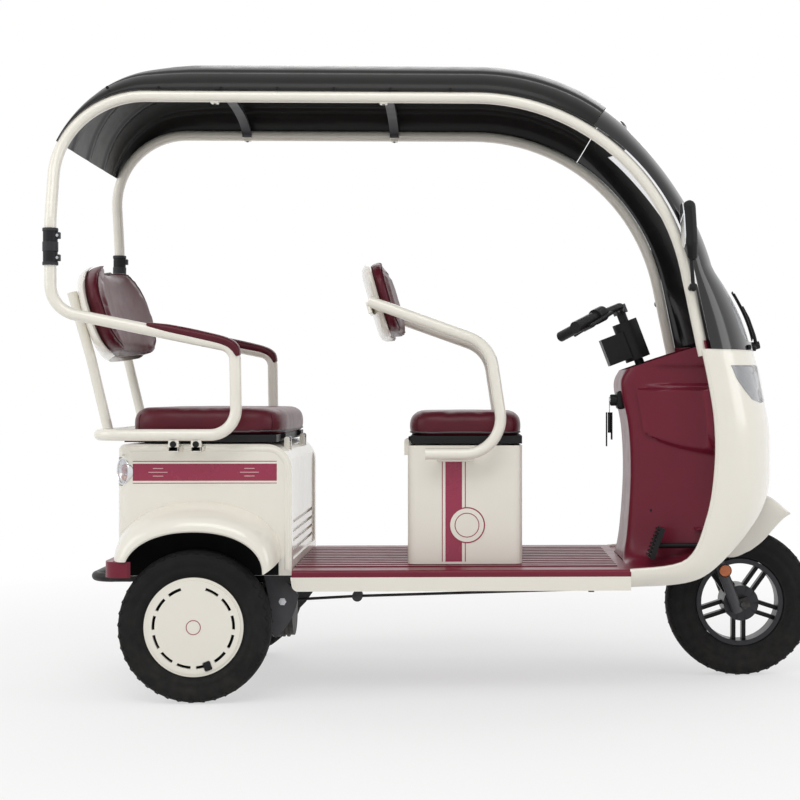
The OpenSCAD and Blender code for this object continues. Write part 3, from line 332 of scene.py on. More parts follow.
def rounded_block(low, high, bevel, steps=3):
    """A block between two corners with rolled edges, all in millimetres from the axle."""
    form = bmesh.new()
    bmesh.ops.create_cube(form, size=1)
    low, high = Vector(low), Vector(high)
    for v in form.verts:
        v.co = Vector([mid + c * span for c, mid, span in zip(v.co, (low + high) / 2, high - low)])
    bmesh.ops.bevel(form, geom=form.edges[:], offset=bevel, segments=steps, profile=0.5, affect="EDGES")
    form.verts.index_update()
    vertices, faces = [at(*v.co) for v in form.verts], [tuple(v.index for v in f.verts) for f in form.faces]
    form.free()
    return vertices, faces


def moved(form, spot, turn=Matrix.Identity(3)):
    """A form made round the axle's zero point, turned and set down at a spot."""
    vertices, faces = form
    return [spot + turn @ (v - ORIGIN) for v in vertices], faces


def tree_with(name, sizes):
    """An empty geometry tree with named inputs for its sizes. Gives the tree, its inputs and its output."""
    tree = bpy.data.node_groups.new(name, "GeometryNodeTree")
    tree.interface.new_socket("Geometry", in_out="INPUT", socket_type="NodeSocketGeometry")
    for label, value in sizes.items():
        kind = "NodeSocketInt" if isinstance(value, int) else "NodeSocketFloat"
        tree.interface.new_socket(label, in_out="INPUT", socket_type=kind).default_value = value
    tree.interface.new_socket("Geometry", in_out="OUTPUT", socket_type="NodeSocketGeometry")
    return tree, tree.nodes.new("NodeGroupInput"), tree.nodes.new("NodeGroupOutput")


def grown(name, seed_object, tree, values, body=MAIN, crease=38):
    """Runs a geometry tree on an object, with values for its named inputs, and keeps the plain mesh."""
    modifier = seed_object.modifiers.new("grow", "NODES")
    modifier.node_group = tree
    for item in tree.interface.items_tree:
        if item.item_type == "SOCKET" and item.in_out == "INPUT" and item.name in values:
            modifier[item.identifier] = values[item.name]
    graph = bpy.context.evaluated_depsgraph_get()
    mesh = bpy.data.meshes.new_from_object(seed_object.evaluated_get(graph))
    bpy.data.objects.remove(seed_object)
    mesh.name = name
    made = added(name, mesh)
    tidy(made, crease)
    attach(made, body)
    return made


def set_on_points(tree, given, out, shape, finish):
    """Ends a tree: the shape on every point, turned the way the point faces, in one finish."""
    facing = node_in(tree, "GeometryNodeInputNamedAttribute", {"Name": "facing"}, data_type="FLOAT_VECTOR")
    turn = node_in(tree, "FunctionNodeAlignRotationToVector", {"Vector": facing.outputs[0]})
    place = node_in(tree, "GeometryNodeInstanceOnPoints", {
        "Points": given.outputs["Geometry"], "Instance": shape, "Rotation": turn.outputs[0]})
    real = node_in(tree, "GeometryNodeRealizeInstances", {0: place.outputs[0]})
    cover = node_in(tree, "GeometryNodeSetMaterial", {0: real.outputs[0], "Material": finish})
    tree.links.new(cover.outputs[0], out.inputs[0])
    return tree


def screw_tree(finish):
    """Screw heads: a washer, a head and a raised middle, set on points that carry their facing."""
    tree, given, out = tree_with("screw_heads", {"Head radius": 0.004, "Head height": 0.0025, "Sides": 14})
    parts = tree.nodes.new("GeometryNodeJoinGeometry")
    for share, rise in ((1.0, 0.35), (0.80, 0.85), (0.62, 1.0)):
        disc = node_in(tree, "GeometryNodeMeshCylinder", {
            "Radius": multiplied(tree, given.outputs["Head radius"], share),
            "Depth": multiplied(tree, given.outputs["Head height"], rise * 2),
            "Vertices": given.outputs["Sides"]})
        tree.links.new(disc.outputs["Mesh"], parts.inputs[0])
    return set_on_points(tree, given, out, parts.outputs[0], finish)


def points_facing(places, facings):
    """A loose-point object whose points carry the way they face."""
    marks = mesh_object("marks", places, [])
    held = marks.data.attributes.new("facing", "FLOAT_VECTOR", "POINT")
    held.data.foreach_set("vector", [c for f in facings for c in Vector(f).normalized()])
    return marks


def screws(name, places, facings, tree, radius=0.004, height=0.0025, sides=14, body=MAIN):
    values = {"Head radius": radius, "Head height": height, "Sides": sides}
    return grown(name, points_facing(places, facings), tree, values, body, crease=30)


chassis_paint = finish_of("chassis_paint", (0.018, 0.018, 0.020), 0.42, gleam=0.16, grain=500, depth=0.10, dust=0.35,
                          wear=(0.10, 0.10, 0.11))
casting = finish_of("casting", (0.045, 0.045, 0.048), 0.55, gleam=0.2, metal=0.3, grain=700, depth=0.30, dust=0.45)
bright_steel = finish_of("bright_steel", (0.55, 0.56, 0.58), 0.28, metal=1, grain=1200, depth=0.05, shade=0.15)
black_bolt = finish_of("black_bolt", (0.012, 0.012, 0.013), 0.35, gleam=0.2, metal=0.4, grain=1500, depth=0.05)
dress(chassis_paint, "chassis_frame", "bumper_tube", "brake_rods")
dress(casting, "rear_axle")
black_screws = screw_tree(black_bolt)
steel_screws = screw_tree(bright_steel)


# ---- Floor: one maroon tray with foot ribs along it, standing on a cream sill moulding each side. Both
# keep their solid shapes and are satin moulded plastic.
maroon_moulding = finish_of("maroon_moulding", (0.178, 0.015, 0.034), 0.34, gleam=0.2, shade=0.10, grain=420,
                            depth=0.12, coat=0.10)
cream_moulding = finish_of("cream_moulding", (0.86, 0.825, 0.735), 0.20, shade=0.015, grain=260,
                           depth=0.015, swell=0.04, coat=0.45)
dress(maroon_moulding, "floor_deck")
dress(cream_moulding, "side_skirts")


# ---- Front fairing: a cream double-curved nose shell, open below for the wheel, with a rolled rear edge
# that meets the maroon leg shield. Injection-moulded in one piece and screwed to the head tube.
WALL = 4
SIDES = ((-1, "right"), (1, "left"))


def through(points, t):
    """A smooth curve through evenly spaced points."""
    points = [Vector(p) for p in points]
    s = t * (len(points) - 1)
    i = min(int(s), len(points) - 2)
    u = s - i
    a, b = points[max(0, i - 1)], points[i]
    c, d = points[i + 1], points[min(len(points) - 1, i + 2)]
    return 0.5 * (2 * b + (c - a) * u + (2 * a - 5 * b + 4 * c - d) * u * u + (3 * b - a - 3 * c + d) * u ** 3)


def ease(t):
    t = max(0.0, min(1.0, t))
    return t * t * (3 - 2 * t)


def mixed(a, b, t):
    return a + (b - a) * t


def signed_power(value, power):
    """A sine or cosine raised to a power with its sign kept, which squares off or sharpens an outline."""
    return math.copysign(abs(value) ** power, value)


def shell(outer, inner):
    """A closed thin shell between two grids of points. Gives vertices and faces."""
    rows, cols = len(outer), len(outer[0])
    vertices = [p for grid in (outer, inner) for row in grid for p in row]
    base = rows * cols
    faces = []
    for i in range(rows - 1):
        for j in range(cols - 1):
            k = i * cols + j
            faces.append((k, k + 1, k + cols + 1, k + cols))
            faces.append((base + k, base + k + cols, base + k + cols + 1, base + k + 1))
    for j in range(cols - 1):
        k = (rows - 1) * cols + j
        faces.append((j, base + j, base + j + 1, j + 1))
        faces.append((k, k + 1, base + k + 1, base + k))
    for i in range(rows - 1):
        k = i * cols
        m = k + cols - 1
        faces.append((k, k + cols, base + k + cols, base + k))
        faces.append((m, base + m, base + m + cols, m + cols))
    return vertices, faces


def prism(outline, low, high, axis="Y"):
    """A straight-sided block with the given outline, for cutting. Millimetres from the axle."""
    count = len(outline)
    vertices = []
    for depth in (low, high):
        for u, v in outline:
            vertices.append(at(u, depth, v) if axis == "Y" else at(depth, u, v))
    faces = [tuple(range(count)), tuple(range(2 * count - 1, count - 1, -1))]
    faces += [(i, i + count, (i + 1) % count + count, (i + 1) % count) for i in range(count)]
    return vertices, faces


def cut(made, *tools, operation="DIFFERENCE", crease=38):
    for form in tools:
        tool = mesh_object("tool", *form)
        tidy(tool)
        applied(made, kind="BOOLEAN", operation=operation, object=tool, solver="EXACT")
        bpy.data.objects.remove(tool)
    tidy(made, crease)
    return made


floor_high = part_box("floor_deck")[1]
FLOOR_TOP = floor_high.z * 1000
BODY_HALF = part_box("front_fairing")[1].y * 1000
FLOOR_FRONT = (floor_high.x - rear_axle_x) * 1000
SILL_TOP = FLOOR_TOP - 9
FAIRING_TOP = 960


def rim(v):
    return through([(1386, 983), (1409, 876), (1427, 760), (1428, 630), (1405, 490), (1345, 372),
                    (FLOOR_FRONT + 0.3, SILL_TOP)], v)


def nose(v):
    return through([(1578, 968), (1605, 850), (1629, 690), (1604, 470), (1440, 272), (1190, 240)], v)


def fairing_point(v, a, inset):
    edge = rim(v)
    tip = nose(v) - (nose(v) - edge).normalized() * inset
    p = mixed(edge, tip, max(0, math.cos(a)) ** 0.9)
    return at(p.x, (BODY_HALF - inset) * math.sin(a), p.y)


def fairing_grid(inset, rows=72, cols=96):
    return [[fairing_point(i / rows, math.radians(-90 + 180 * j / cols), inset) for j in range(cols + 1)]
            for i in range(rows + 1)]


ARCH_HALF, ARCH_FOOT, ARCH_TOP = 345, 200, 640
arch = [(ARCH_HALF * signed_power(math.cos(a), 1.15),
         ARCH_FOOT + (ARCH_TOP - ARCH_FOOT) * signed_power(math.sin(a), 1.15))
        for a in (math.pi * i / 60 for i in range(61))]
lamp_side = [(1467, 915), (1584, 918), (1612, 816), (1567, 811), (1534, 820), (1507, 848), (1485, 876)]
LAMP_FROM, LAMP_TO = 84, 346


def lamp_block(grow, side):
    middle = sum((Vector(p) for p in lamp_side), Vector((0, 0))) / len(lamp_side)
    outline = [p + (p - middle).normalized() * grow for p in map(Vector, lamp_side)]
    return prism(outline, side * (LAMP_FROM - grow), side * (LAMP_TO + grow))


fairing = piece("front_fairing_shell", *shell(fairing_grid(0), fairing_grid(WALL)), cream_moulding, "cream_panel")
cut(fairing, prism(arch, 1180, 1780, "X"), lamp_block(0, 1), lamp_block(0, -1),
    prism([(1300, FAIRING_TOP), (1700, FAIRING_TOP), (1700, 1060), (1300, 1060)], -400, 400))
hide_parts("front_fairing")

roll = []
for side in (-1, 1):
    edge = [rim(v / 40) for v in range(2, 41)]
    roll.append(sweep([at(p.x - 2, side * (BODY_HALF - 7.5), p.y) for p in edge], 0.007, 12))
piece("fairing_rolled_edge", *joined(*roll), cream_moulding, "cream_panel")


# ---- Leg shield: a maroon moulding behind the nose, bulged over the steering column, with an open
# pocket each side of it and a narrow dash on top. Satin plastic with a fine moulded grain.
SHIELD_HALF = BODY_HALF - 5.2
COLUMN_HALF, COLUMN_BLEND, DIP = 112, 110, 46
POCKET_MIDDLE, POCKET_REACH, POCKET_DEPTH, POCKET_FOOT, LIP_Z = 0.66, 0.27, 46, 648, 846
SHELF_DEPTH, SHELF_LOW, SHELF_HIGH = 36, 858, 905
DASH_STATION = 1 / 15


def column(v):
    return through([(1200, 908), (1184, 860), (1206, 740), (1212, 600), (1202, 440),
                    (FLOOR_FRONT + 0.3, FLOOR_TOP)], v)


def shield_face(v, y):
    """Rear face of the shield: a pocket with a crisp lip each side, and a shelf sunk in behind the lip."""
    edge = abs(y) / BODY_HALF
    w = ease((abs(y) - COLUMN_HALF) / COLUMN_BLEND)
    p = mixed(column(v), rim(v), w)
    dip = DIP * math.sin(math.pi * min(1, max(0, (edge - 0.25) / 0.75))) * (1 - v ** 6)
    span = abs(edge - POCKET_MIDDLE) / POCKET_REACH
    foot = POCKET_FOOT + 74 * span ** 3
    pocket = POCKET_DEPTH * ease((1 - span) / 0.16) * (1 - ease((p.y - LIP_Z) / 9)) * ease((p.y - foot) / 34)
    shelf = (SHELF_DEPTH * ease((0.97 - span) / 0.16) * ease((p.y - SHELF_LOW) / 10)
             * (1 - ease((p.y - SHELF_HIGH) / 20)))
    return Vector((p.x + dip * w - pocket + shelf, p.y))


def shield_point(v, y, wall):
    p = shield_face(v, y)
    along = (shield_face(min(1, v + 0.01), y) - shield_face(max(0, v - 0.01), y)).normalized()
    return Vector((p.x - along.y * wall, y, p.y + along.x * wall))


def shield_grid(wall, rows=150, cols=144):
    return [[at(*shield_point(i / rows, SHIELD_HALF * (2 * j / cols - 1), wall)) for j in range(cols + 1)]
            for i in range(rows + 1)]


def dash_grid(drop, rows=8, cols=144):
    grid = []
    for i in range(rows + 1):
        row = []
        for j in range(cols + 1):
            y = SHIELD_HALF * (2 * j / cols - 1)
            back = shield_point(DASH_STATION, y, 3)
            bow = math.sqrt(max(0, 1 - (y / (SHIELD_HALF + 0.05)) ** 2)) ** 0.9
            front = mixed(rim(DASH_STATION), nose(DASH_STATION) - Vector((5.5, 0)), bow)
            x = mixed(back.x, max(back.x + 2, front.x - 1.5), i / rows)
            row.append(at(x, y, mixed(back.z, front.y, i / rows) - drop))
        grid.append(row)
    return grid


shield_skins = joined(shell(shield_grid(WALL), shield_grid(0)), shell(dash_grid(0), dash_grid(WALL)))
shield = piece("leg_shield_panel", *shield_skins, maroon_moulding, "maroon_panel", crease=30)
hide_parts("leg_shield")


# Ignition lock in its black bezel on the column, its key with a fob, the pedal's rubber and its flap.
def lying_on(made, y, z):
    """The first point of a piece met from behind at the given height and side."""
    start = at(600, y, z)
    hit, spot, _, _ = made.ray_cast(start, Vector((1, 0, 0)), distance=1.6)
    return spot if hit else start


black_moulding = finish_of("black_moulding", (0.016, 0.016, 0.017), 0.44, gleam=0.16, grain=520, depth=0.18,
                           shade=0.2)
lock_spot = lying_on(shield, -66, 818)
lock = [moved(rounded_block((-4, -27, -27), (20, 27, 27), 9), lock_spot - Vector((0.012, 0, 0))),
        lathe([(0, -34), (15, -34), (17, -31), (17, -8), (0, -8)], lock_spot, "X", 36)]
piece("ignition_lock", *joined(*lock), black_moulding, "black_plastic")
ring_line = [lock_spot + Vector((-0.036, 0.001 * math.sin(k * 2.1), -0.004 - 0.003 * k)) for k in range(12)]
key_parts = [lathe([(0, -37), (9, -37), (10, -35), (10, -33), (0, -33)], lock_spot, "X", 32),
             sweep(ring_line, 0.0011, 8)]
piece("lock_barrel_and_ring", *joined(*key_parts), bright_steel, "black_frame", crease=25)
fob = [sweep([lock_spot + Vector((-0.036 + dx, dy, -0.036 - 0.010 * k)) for k in range(steps)], radius, 12, flat=0.5)
       for dx, dy, steps, radius in ((0, 0, 7, 0.010), (-0.008, 0.006, 11, 0.0045), (0.006, -0.005, 9, 0.0055))]
piece("key_fobs", *joined(*fob), black_moulding, "black_plastic")
tilt = Matrix.Rotation(math.radians(20), 3, "Y")
pedal = [moved(rounded_block((-15.5, -31, -42 + k * 11), (-9.5, 31, -36 + k * 11), 2), at(1276, -229, 412), tilt)
         for k in range(8)]
rubber_black = finish_of("rubber_black", (0.014, 0.014, 0.014), 0.62, gleam=0.12, grain=800, depth=0.25, shade=0.2)
piece("pedal_rubber_ribs", *joined(*pedal), rubber_black, "black_plastic")
flap = moved(rounded_block((-44, -30, -5), (6, 30, 3), 3), lying_on(shield, -215, 452))
piece("pedal_flap", *flap, maroon_moulding, "maroon_panel")
places, facings = [], []
for side in (-1, 1):
    for y, z in ((322, 566), (150, 500), (338, 720), (330, 430)):
        places.append(lying_on(shield, side * y, z))
        facings.append((-1, 0, 0))
screws("shield_screws", places, facings, black_screws, 0.0038, 0.002)


# ---- Headlamps: a clear teardrop lens each side let into the nose, over a round bright reflector bowl and
# a black bezel. The lens is polycarbonate; the bowl is bright-coated plastic.
def clear_finish(name, tint, alpha=0.22):
    made, tree, skin = blank_finish(name)
    spot = tree.nodes.new("ShaderNodeTexCoord")
    haze = node_in(tree, "ShaderNodeTexNoise", {"Scale": 60, "Vector": spot.outputs["Object"]})
    bump = node_in(tree, "ShaderNodeBump", {"Strength": 0.02, "Distance": 0.001, "Height": haze.outputs["Fac"]})
    fill(tree, skin, {
        "Base Color": (*tint, 1), "Roughness": 0.02, "IOR": 1.49, "Alpha": alpha, "Coat Weight": 0.6,
        "Coat Roughness": 0.02, "Normal": bump.outputs[0]})
    return made


lens_clear = clear_finish("lens_clear", (0.86, 0.88, 0.92))
bright_coat = finish_of("bright_coat", (0.75, 0.76, 0.78), 0.12, metal=1, grain=300, depth=0.02, shade=0.1)
gloss_black = finish_of("gloss_black", (0.012, 0.012, 0.014), 0.16, gleam=0.3, grain=300, depth=0.02, coat=0.5,
                        shade=0.3)


def lamp_part(name, outset, depth, shrink, finish, slot):
    parts = []
    for side, word in SIDES:
        made = piece(f"{name}_{word}", *shell(fairing_grid(-outset), fairing_grid(depth)), finish, slot)
        cut(made, lamp_block(-shrink, side), operation="INTERSECT")
        parts.append(made)
    return parts


lenses = lamp_part("headlamp_lens", 2.5, 0.5, 0.6, lens_clear, "clear_lens")
bezels = lamp_part("headlamp_bezel", -13, 16, 0.8, gloss_black, "black_plastic")
for lens, bezel in zip(lenses, bezels):
    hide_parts("headlamps")
    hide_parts("headlamps")
BOWL = [(0, 2), (10, 4), (19, 9), (26, 17), (30, 26), (32, 26), (28, 16), (20, 6), (10, 1), (0, -1)]
for side, word in SIDES:
    aim = Matrix.Rotation(side * math.radians(28), 3, "Z")
    back = at(1560, side * 176, 868) - aim @ Vector((0.02, 0, 0))
    bowl = moved(lathe(BOWL, ORIGIN, "X", 40), back, aim)
    piece(f"headlamp_bowl_{word}", *bowl, bright_coat, "clear_lens")


# ---- Canopy frame: two cream powder-coated steel tubes, each bent in one run from the rear sleeve, over
# the roof and down to its foot behind the nose, with welded tabs for the roof braces.
powder_cream = finish_of("powder_cream", (0.86, 0.825, 0.735), 0.20, shade=0.012, grain=700, depth=0.02,
                         swell=0.02, coat=0.5)
TUBE_R = 0.0159
POST_X, POST_Y, SLEEVE_Z = -385, 415, 1232
POST_TOP = SLEEVE_Z + 70
ROOF_Z, ROOF_Y = 1656, 325
REAR_R, FRONT_R, LEAN = 235, 600, 78
FOOT_X, FOOT_Z, FOOT_Y = 1393, 942.3, 332
LEG_FOOT_Z = 962  # where the front leg's straight line is set out from
CORNER_X = FOOT_X - (ROOF_Z - LEG_FOOT_Z) / math.tan(math.radians(LEAN))
canopy_run = [(POST_X, POST_Y, SLEEVE_Z), (POST_X, POST_Y, POST_TOP), (POST_X, ROOF_Y, ROOF_Z),
              (CORNER_X, ROOF_Y, ROOF_Z), (FOOT_X, FOOT_Y, FOOT_Z)]
BRACE_XS, BRACE_HALF = (40, 505), 14


def both(points):
    return [points, [(x, -y, z) for x, y, z in points]]


tubes = [sweep(bent(run, [90, REAR_R, FRONT_R], 3), TUBE_R, 32) for run in both(canopy_run)]
for side in (-1, 1):
    for x in BRACE_XS:
        tubes.append(rounded_block((x - BRACE_HALF, side * 309 - 8, 1645),
                                   (x + BRACE_HALF, side * 309 + 8, 1649), 1.2))
frame_tubes = piece("canopy_frame_tubes", *joined(*tubes), powder_cream, "cream_tube")
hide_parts("canopy_frame")


# ---- Post sleeves: black clamp tubes that join the canopy posts to the seat frame, each with a raised
# band in the middle and at both ends, and two clamp lugs with a bolt through each.
sleeve_profile = [(15.9, -50), (20.5, -50), (21, -48), (21, -42), (19.4, -40), (19.4, -14), (21, -12), (21, 12),
                  (19.4, 14), (19.4, 40), (21, 42), (21, 48), (20.5, 50), (15.9, 50), (15.9, -50)]
sleeves = []
marks, facings = [], []
for side in (-1, 1):
    centre = at(POST_X, side * POST_Y, SLEEVE_Z)
    sleeves.append(lathe(sleeve_profile, centre, "Z", 40))
    for z in (-30, 30):
        sleeves.append(rounded_block((POST_X + 14, side * POST_Y - 7, SLEEVE_Z + z - 9),
                                     (POST_X + 27, side * POST_Y + 7, SLEEVE_Z + z + 9), 2))
        marks.append(at(POST_X + 20, side * (POST_Y + 7), SLEEVE_Z + z))
        facings.append((0, side, 0))
sleeve_set = piece("post_sleeve_clamps", *joined(*sleeves), chassis_paint, "black_frame", crease=25)
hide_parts("post_sleeves")
screws("post_sleeve_bolts", marks, facings, steel_screws, 0.0045, 0.004, 6)


# ---- Roof: one black vacuum-formed sheet, crowned across and rolled down over the back, with long
# grooves pressed into it, and two arched braces on cream clamps under it.
SKIN_SEAT, SPLIT, CROWN, BACK_RISE = 16.75, 32, 118, 10
REAR_FROM, REAR_SHARE = 24, 0.67
EAVE_Y = ROOF_Y + 15
ROOF_AHEAD = CORNER_X - FRONT_R * math.tan(math.radians(LEAN / 2))


def rise_at(t):
    """Rise of the skin from its foot over the back to the full crown."""
    return BACK_RISE + (CROWN - BACK_RISE) * math.sin(math.radians(90 * min(1, t))) ** 1.2


def screen_rise(t):
    """Rise of the skin down the front, from the roof over the brow to the foot on the nose."""
    return through([(0, CROWN), (0, 114), (0, 84), (0, 100), (0, 136), (0, 162), (0, 172)], t).y


# A station along the skin holds its x and z on the tubes, the angle it faces and the rise of its crown.
def rear_arc(a):
    r = math.radians(a)
    return (POST_X + REAR_R - REAR_R * math.cos(r), ROOF_Z - REAR_R + REAR_R * math.sin(r), a,
            rise_at((a - REAR_FROM) / (90 - REAR_FROM) * REAR_SHARE))


def roof_line(t):
    return (mixed(POST_X + REAR_R, ROOF_AHEAD, t), ROOF_Z, 90, rise_at(REAR_SHARE + t * 2))


def front_arc(a):
    r = math.radians(a)
    return (ROOF_AHEAD + FRONT_R * math.sin(r), ROOF_Z - FRONT_R + FRONT_R * math.cos(r), 90 + a,
            screen_rise(a / LEAN / 2))


def front_leg(t):
    x, z = front_arc(LEAN)[:2]
    return (mixed(x, FOOT_X, t), mixed(z, FAIRING_TOP + 0.3, t), mixed(90 + LEAN, 180, ease(t)),
            screen_rise(0.5 + t / 2))


def skin_half(s):
    """Half width of the skin at a station, growing down the back to the posts and down the front to the nose."""
    drop = max(0, ROOF_Z - s[1])
    if s[0] < 0:
        return EAVE_Y + (POST_Y - ROOF_Y) * drop / (ROOF_Z - POST_TOP)
    return EAVE_Y + (BODY_HALF - EAVE_Y) * (drop / (ROOF_Z - LEG_FOOT_Z)) ** 1.5


def skin_at(s, a, wall):
    n = SKIN_SEAT + max(1, s[3] - wall) * math.cos(a)
    lean = math.radians(s[2])
    return at(s[0] - n * math.cos(lean), (skin_half(s) - wall) * math.sin(a), s[1] + n * math.sin(lean))


def groove(a):
    """Depth of the long grooves pressed into the roof, over the half angle from the crown."""
    return 5 * max(0, math.cos(math.degrees(a) / 15 * math.pi)) ** 6 if abs(a) < 1.2 else 0


def skin_grid(stations, wall, cols=120, grooved=1):
    return [[skin_at(s, a, wall + grooved * groove(a))
             for a in (math.radians(-90 + 180 * j / cols) for j in range(cols + 1))] for s in stations]


roof_stations = ([rear_arc(mixed(REAR_FROM, 90, i / 28)) for i in range(29)]
                 + [roof_line(i / 16) for i in range(1, 17)] + [front_arc(SPLIT * i / 20) for i in range(1, 21)])
screen_stations = ([front_arc(mixed(SPLIT + 0.2, LEAN, i / 28)) for i in range(29)]
                   + [front_leg(i / 24) for i in range(1, 25)])
canopy_black = finish_of("canopy_black", (0.016, 0.0155, 0.015), 0.34, gleam=0.14, grain=160, depth=0.08, swell=0.10,
                         coat=0.10, shade=0.2)
roof = piece("canopy_roof_skin", *shell(skin_grid(roof_stations, 0), skin_grid(roof_stations, WALL)),
             canopy_black, "black_panel", crease=30)
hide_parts("canopy_roof")


def half_ring(width, height):
    return [(width * math.cos(a), ROOF_Z - 6 + height * math.sin(a)) for a in (math.pi * i / 40 for i in range(41))]


brace = half_ring(318, 62) + half_ring(300, 48)[::-1]
braces = [prism(brace, x - BRACE_HALF, x + BRACE_HALF, "X") for x in BRACE_XS]
piece("roof_brace_arches", *joined(*braces), chassis_paint, "black_frame")


# ---- Screen: a black frame moulding wrapped round a clear bent pane, from the split on the roof down to
# the nose, with the pane bonded in behind it.
WINDOW_TOP, TOP_HALF, TOP_R = 1612, 285, 60
WINDOW_FOOT, FOOT_HALF, FOOT_R = 985, 275, 40


def corner(centre, radius, start, end, steps=10):
    """Points on an arc between two angles in degrees, for a round corner of an outline."""
    angles = [math.radians(start + (end - start) * k / steps) for k in range(steps + 1)]
    return [(centre[0] + radius * math.cos(a), centre[1] + radius * math.sin(a)) for a in angles]


def window_outline(grow):
    outline = []
    for y, z, r, start in ((FOOT_HALF - FOOT_R, WINDOW_FOOT + FOOT_R, FOOT_R, -90),
                           (TOP_HALF - TOP_R, WINDOW_TOP - TOP_R, TOP_R, 0),
                           (TOP_R - TOP_HALF, WINDOW_TOP - TOP_R, TOP_R, 90),
                           (FOOT_R - FOOT_HALF, WINDOW_FOOT + FOOT_R, FOOT_R, 180)):
        outline += corner((y, z), r + grow, start, start + 90)
    return outline


def screen_sheet(near, far):
    """A sheet that follows the screen's outer face, between two depths below it."""
    return shell(skin_grid(screen_stations, near, grooved=0), skin_grid(screen_stations, far, grooved=0))


screen = piece("screen_surround", *screen_sheet(0, WALL), gloss_black, "black_panel", crease=30)
cut(screen, prism(window_outline(0), 900, 1800, "X"), crease=30)
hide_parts("screen_frame")
screen_clear = clear_finish("screen_clear", (0.72, 0.75, 0.86), alpha=0.16)
screen_print = finish_of("screen_print", (0.010, 0.010, 0.012), 0.22, gleam=0.3, grain=300, depth=0.02, shade=0.3)
pane = piece("windscreen_pane", *screen_sheet(5.3, 8.3), screen_clear, "screen_glass", crease=30)
cut(pane, prism(window_outline(14), 900, 1800, "X"), operation="INTERSECT", crease=30)
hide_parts("windscreen")

# Black band printed round the pane's inner face, wide at its foot
band = piece("screen_print_band", *screen_sheet(8.5, 8.9), screen_print, "black_panel", crease=30)
cut(band, prism(window_outline(13), 900, 1800, "X"), operation="INTERSECT", crease=30)
CLEAR_CORNERS = [(TOP_HALF - 26, WINDOW_TOP - 30), (186, 1120), (-186, 1120), (30 - TOP_HALF, WINDOW_TOP - 30)]
cut(band, prism(CLEAR_CORNERS, 880, 1820, "X"), crease=30)


# Wiper: a hub low on the screen, a sprung arm and a rubber blade on the pane, and knobs along the foot.
def screen_face(t, y, out):
    station = front_leg(t)
    return skin_at((*station[:3], station[3] + out), math.asin(y / skin_half(station)), 0)


hub = screen_face(0.93, -60, 2)
wiper_arm = [hub + Vector((0.014, 0, 0.002)), screen_face(0.80, -85, 16), screen_face(0.62, -122, 15),
             screen_face(0.5, -150, 12)]
blade = [screen_face(0.34 + 0.52 * k / 10, -205 + 115 * k / 10, 5) for k in range(11)]
spine = [screen_face(0.36 + 0.48 * k / 10, -201 + 106 * k / 10, 9) for k in range(11)]
wiper = [sweep([hub, hub + Vector((0.022, 0, 0.005))], [0.013, 0.011], 24),
         sweep(wiper_arm, [0.0055, 0.005, 0.004, 0.0035], 12),
         sweep(spine, 0.0028, 8), sweep(blade, 0.0016, 8, flat=3)]
piece("wiper_arm_and_blade", *joined(*wiper), black_moulding, "black_plastic")
knobs = []
for y in (-250, 250, -130, 130):
    spot = screen_face(0.965, y, 0)
    out = (spot - screen_face(0.965, y, -10)).normalized()
    knobs.append(sweep([spot, spot + out * 0.007, spot + out * 0.009], [0.0075, 0.0075, 0.004], 20))
piece("screen_foot_knobs", *joined(*knobs), black_moulding, "black_plastic", crease=30)

# Brace clamps and their bolts on the roof tubes, and screws along the roof's edge.
clamps, places, facings = [], [], []
for side in (-1, 1):
    for x in BRACE_XS:
        clamps.append(rounded_block((x - 11, side * 318 - 13, ROOF_Z - 19), (x + 11, side * 318 + 13, ROOF_Z - 9), 3))
        places.append(at(x, side * 316, ROOF_Z - 19))
        facings.append((0, 0, -1))
    for x in (-250, -110, 60, 215, 370, 525, 690):
        places.append(at(x, side * (EAVE_Y + 0.3), ROOF_Z + 20))
        facings.append((0, side, 0))
piece("brace_clamps", *joined(*clamps), powder_cream, "cream_tube")
screws("roof_screws", places, facings, black_screws, 0.0045, 0.0025)
dress(black_moulding, "mirrors", "grips_and_levers", "battery_pack", "rear_seat_pan", "driver_seat_pan")

# Mirrors: the moulded shells take a bright edge, a glass facing the driver and a hex nut below.
mirror_glass = finish_of("mirror_glass", (0.72, 0.74, 0.76), 0.05, metal=1, shade=0.02, grain=50, depth=0.005)
glasses, edges, nuts = [], [], []
MIRROR_X, MIRROR_Y, MIRROR_Z, MIRROR_HALF_Y, MIRROR_HALF_Z, MIRROR_TILT = 1325.6, 399, 1296, 34, 58, 0.06
for side in (-1, 1):
    ring = []
    for a in (math.pi * k / 24 for k in range(48)):
        up = MIRROR_HALF_Z * signed_power(math.sin(a), 0.5)
        across = MIRROR_Y + MIRROR_HALF_Y * signed_power(math.cos(a), 0.5)
        ring.append(at(MIRROR_X - up * MIRROR_TILT, side * across, MIRROR_Z + up))
    plate = [p + Vector((-0.0015, 0, 0)) for p in ring]
    glasses.append((ring + plate, [tuple(range(48)), tuple(range(95, 47, -1))]
                    + [(k, (k + 1) % 48, (k + 1) % 48 + 48, k + 48) for k in range(48)]))
    edges.append(sweep([p + Vector((0.0005, 0, 0)) for p in ring], 0.0022, 8, closed=True))
    nuts.append(lathe([(0, -6), (11, -6), (11, 6), (0, 6)], at(1354.6, side * 394.8, 1128), "Y", 6))
piece("mirror_glasses", *joined(*glasses), mirror_glass, "clear_lens", crease=25)
piece("mirror_bright_edges", *joined(*edges), bright_coat, "clear_lens")
piece("mirror_nuts", *joined(*nuts), bright_steel, "black_frame", crease=20)


# ---- Rear storage body: a cream moulded box over the axle, with rounded rear corners, flared fenders
# bonded to its sides, a maroon bumper moulding and round tail lamps let into its corners.
dress(cream_moulding, "rear_body", "seat_box", "wheel_cover_right", "wheel_cover_left")
REAR_HALF = 338
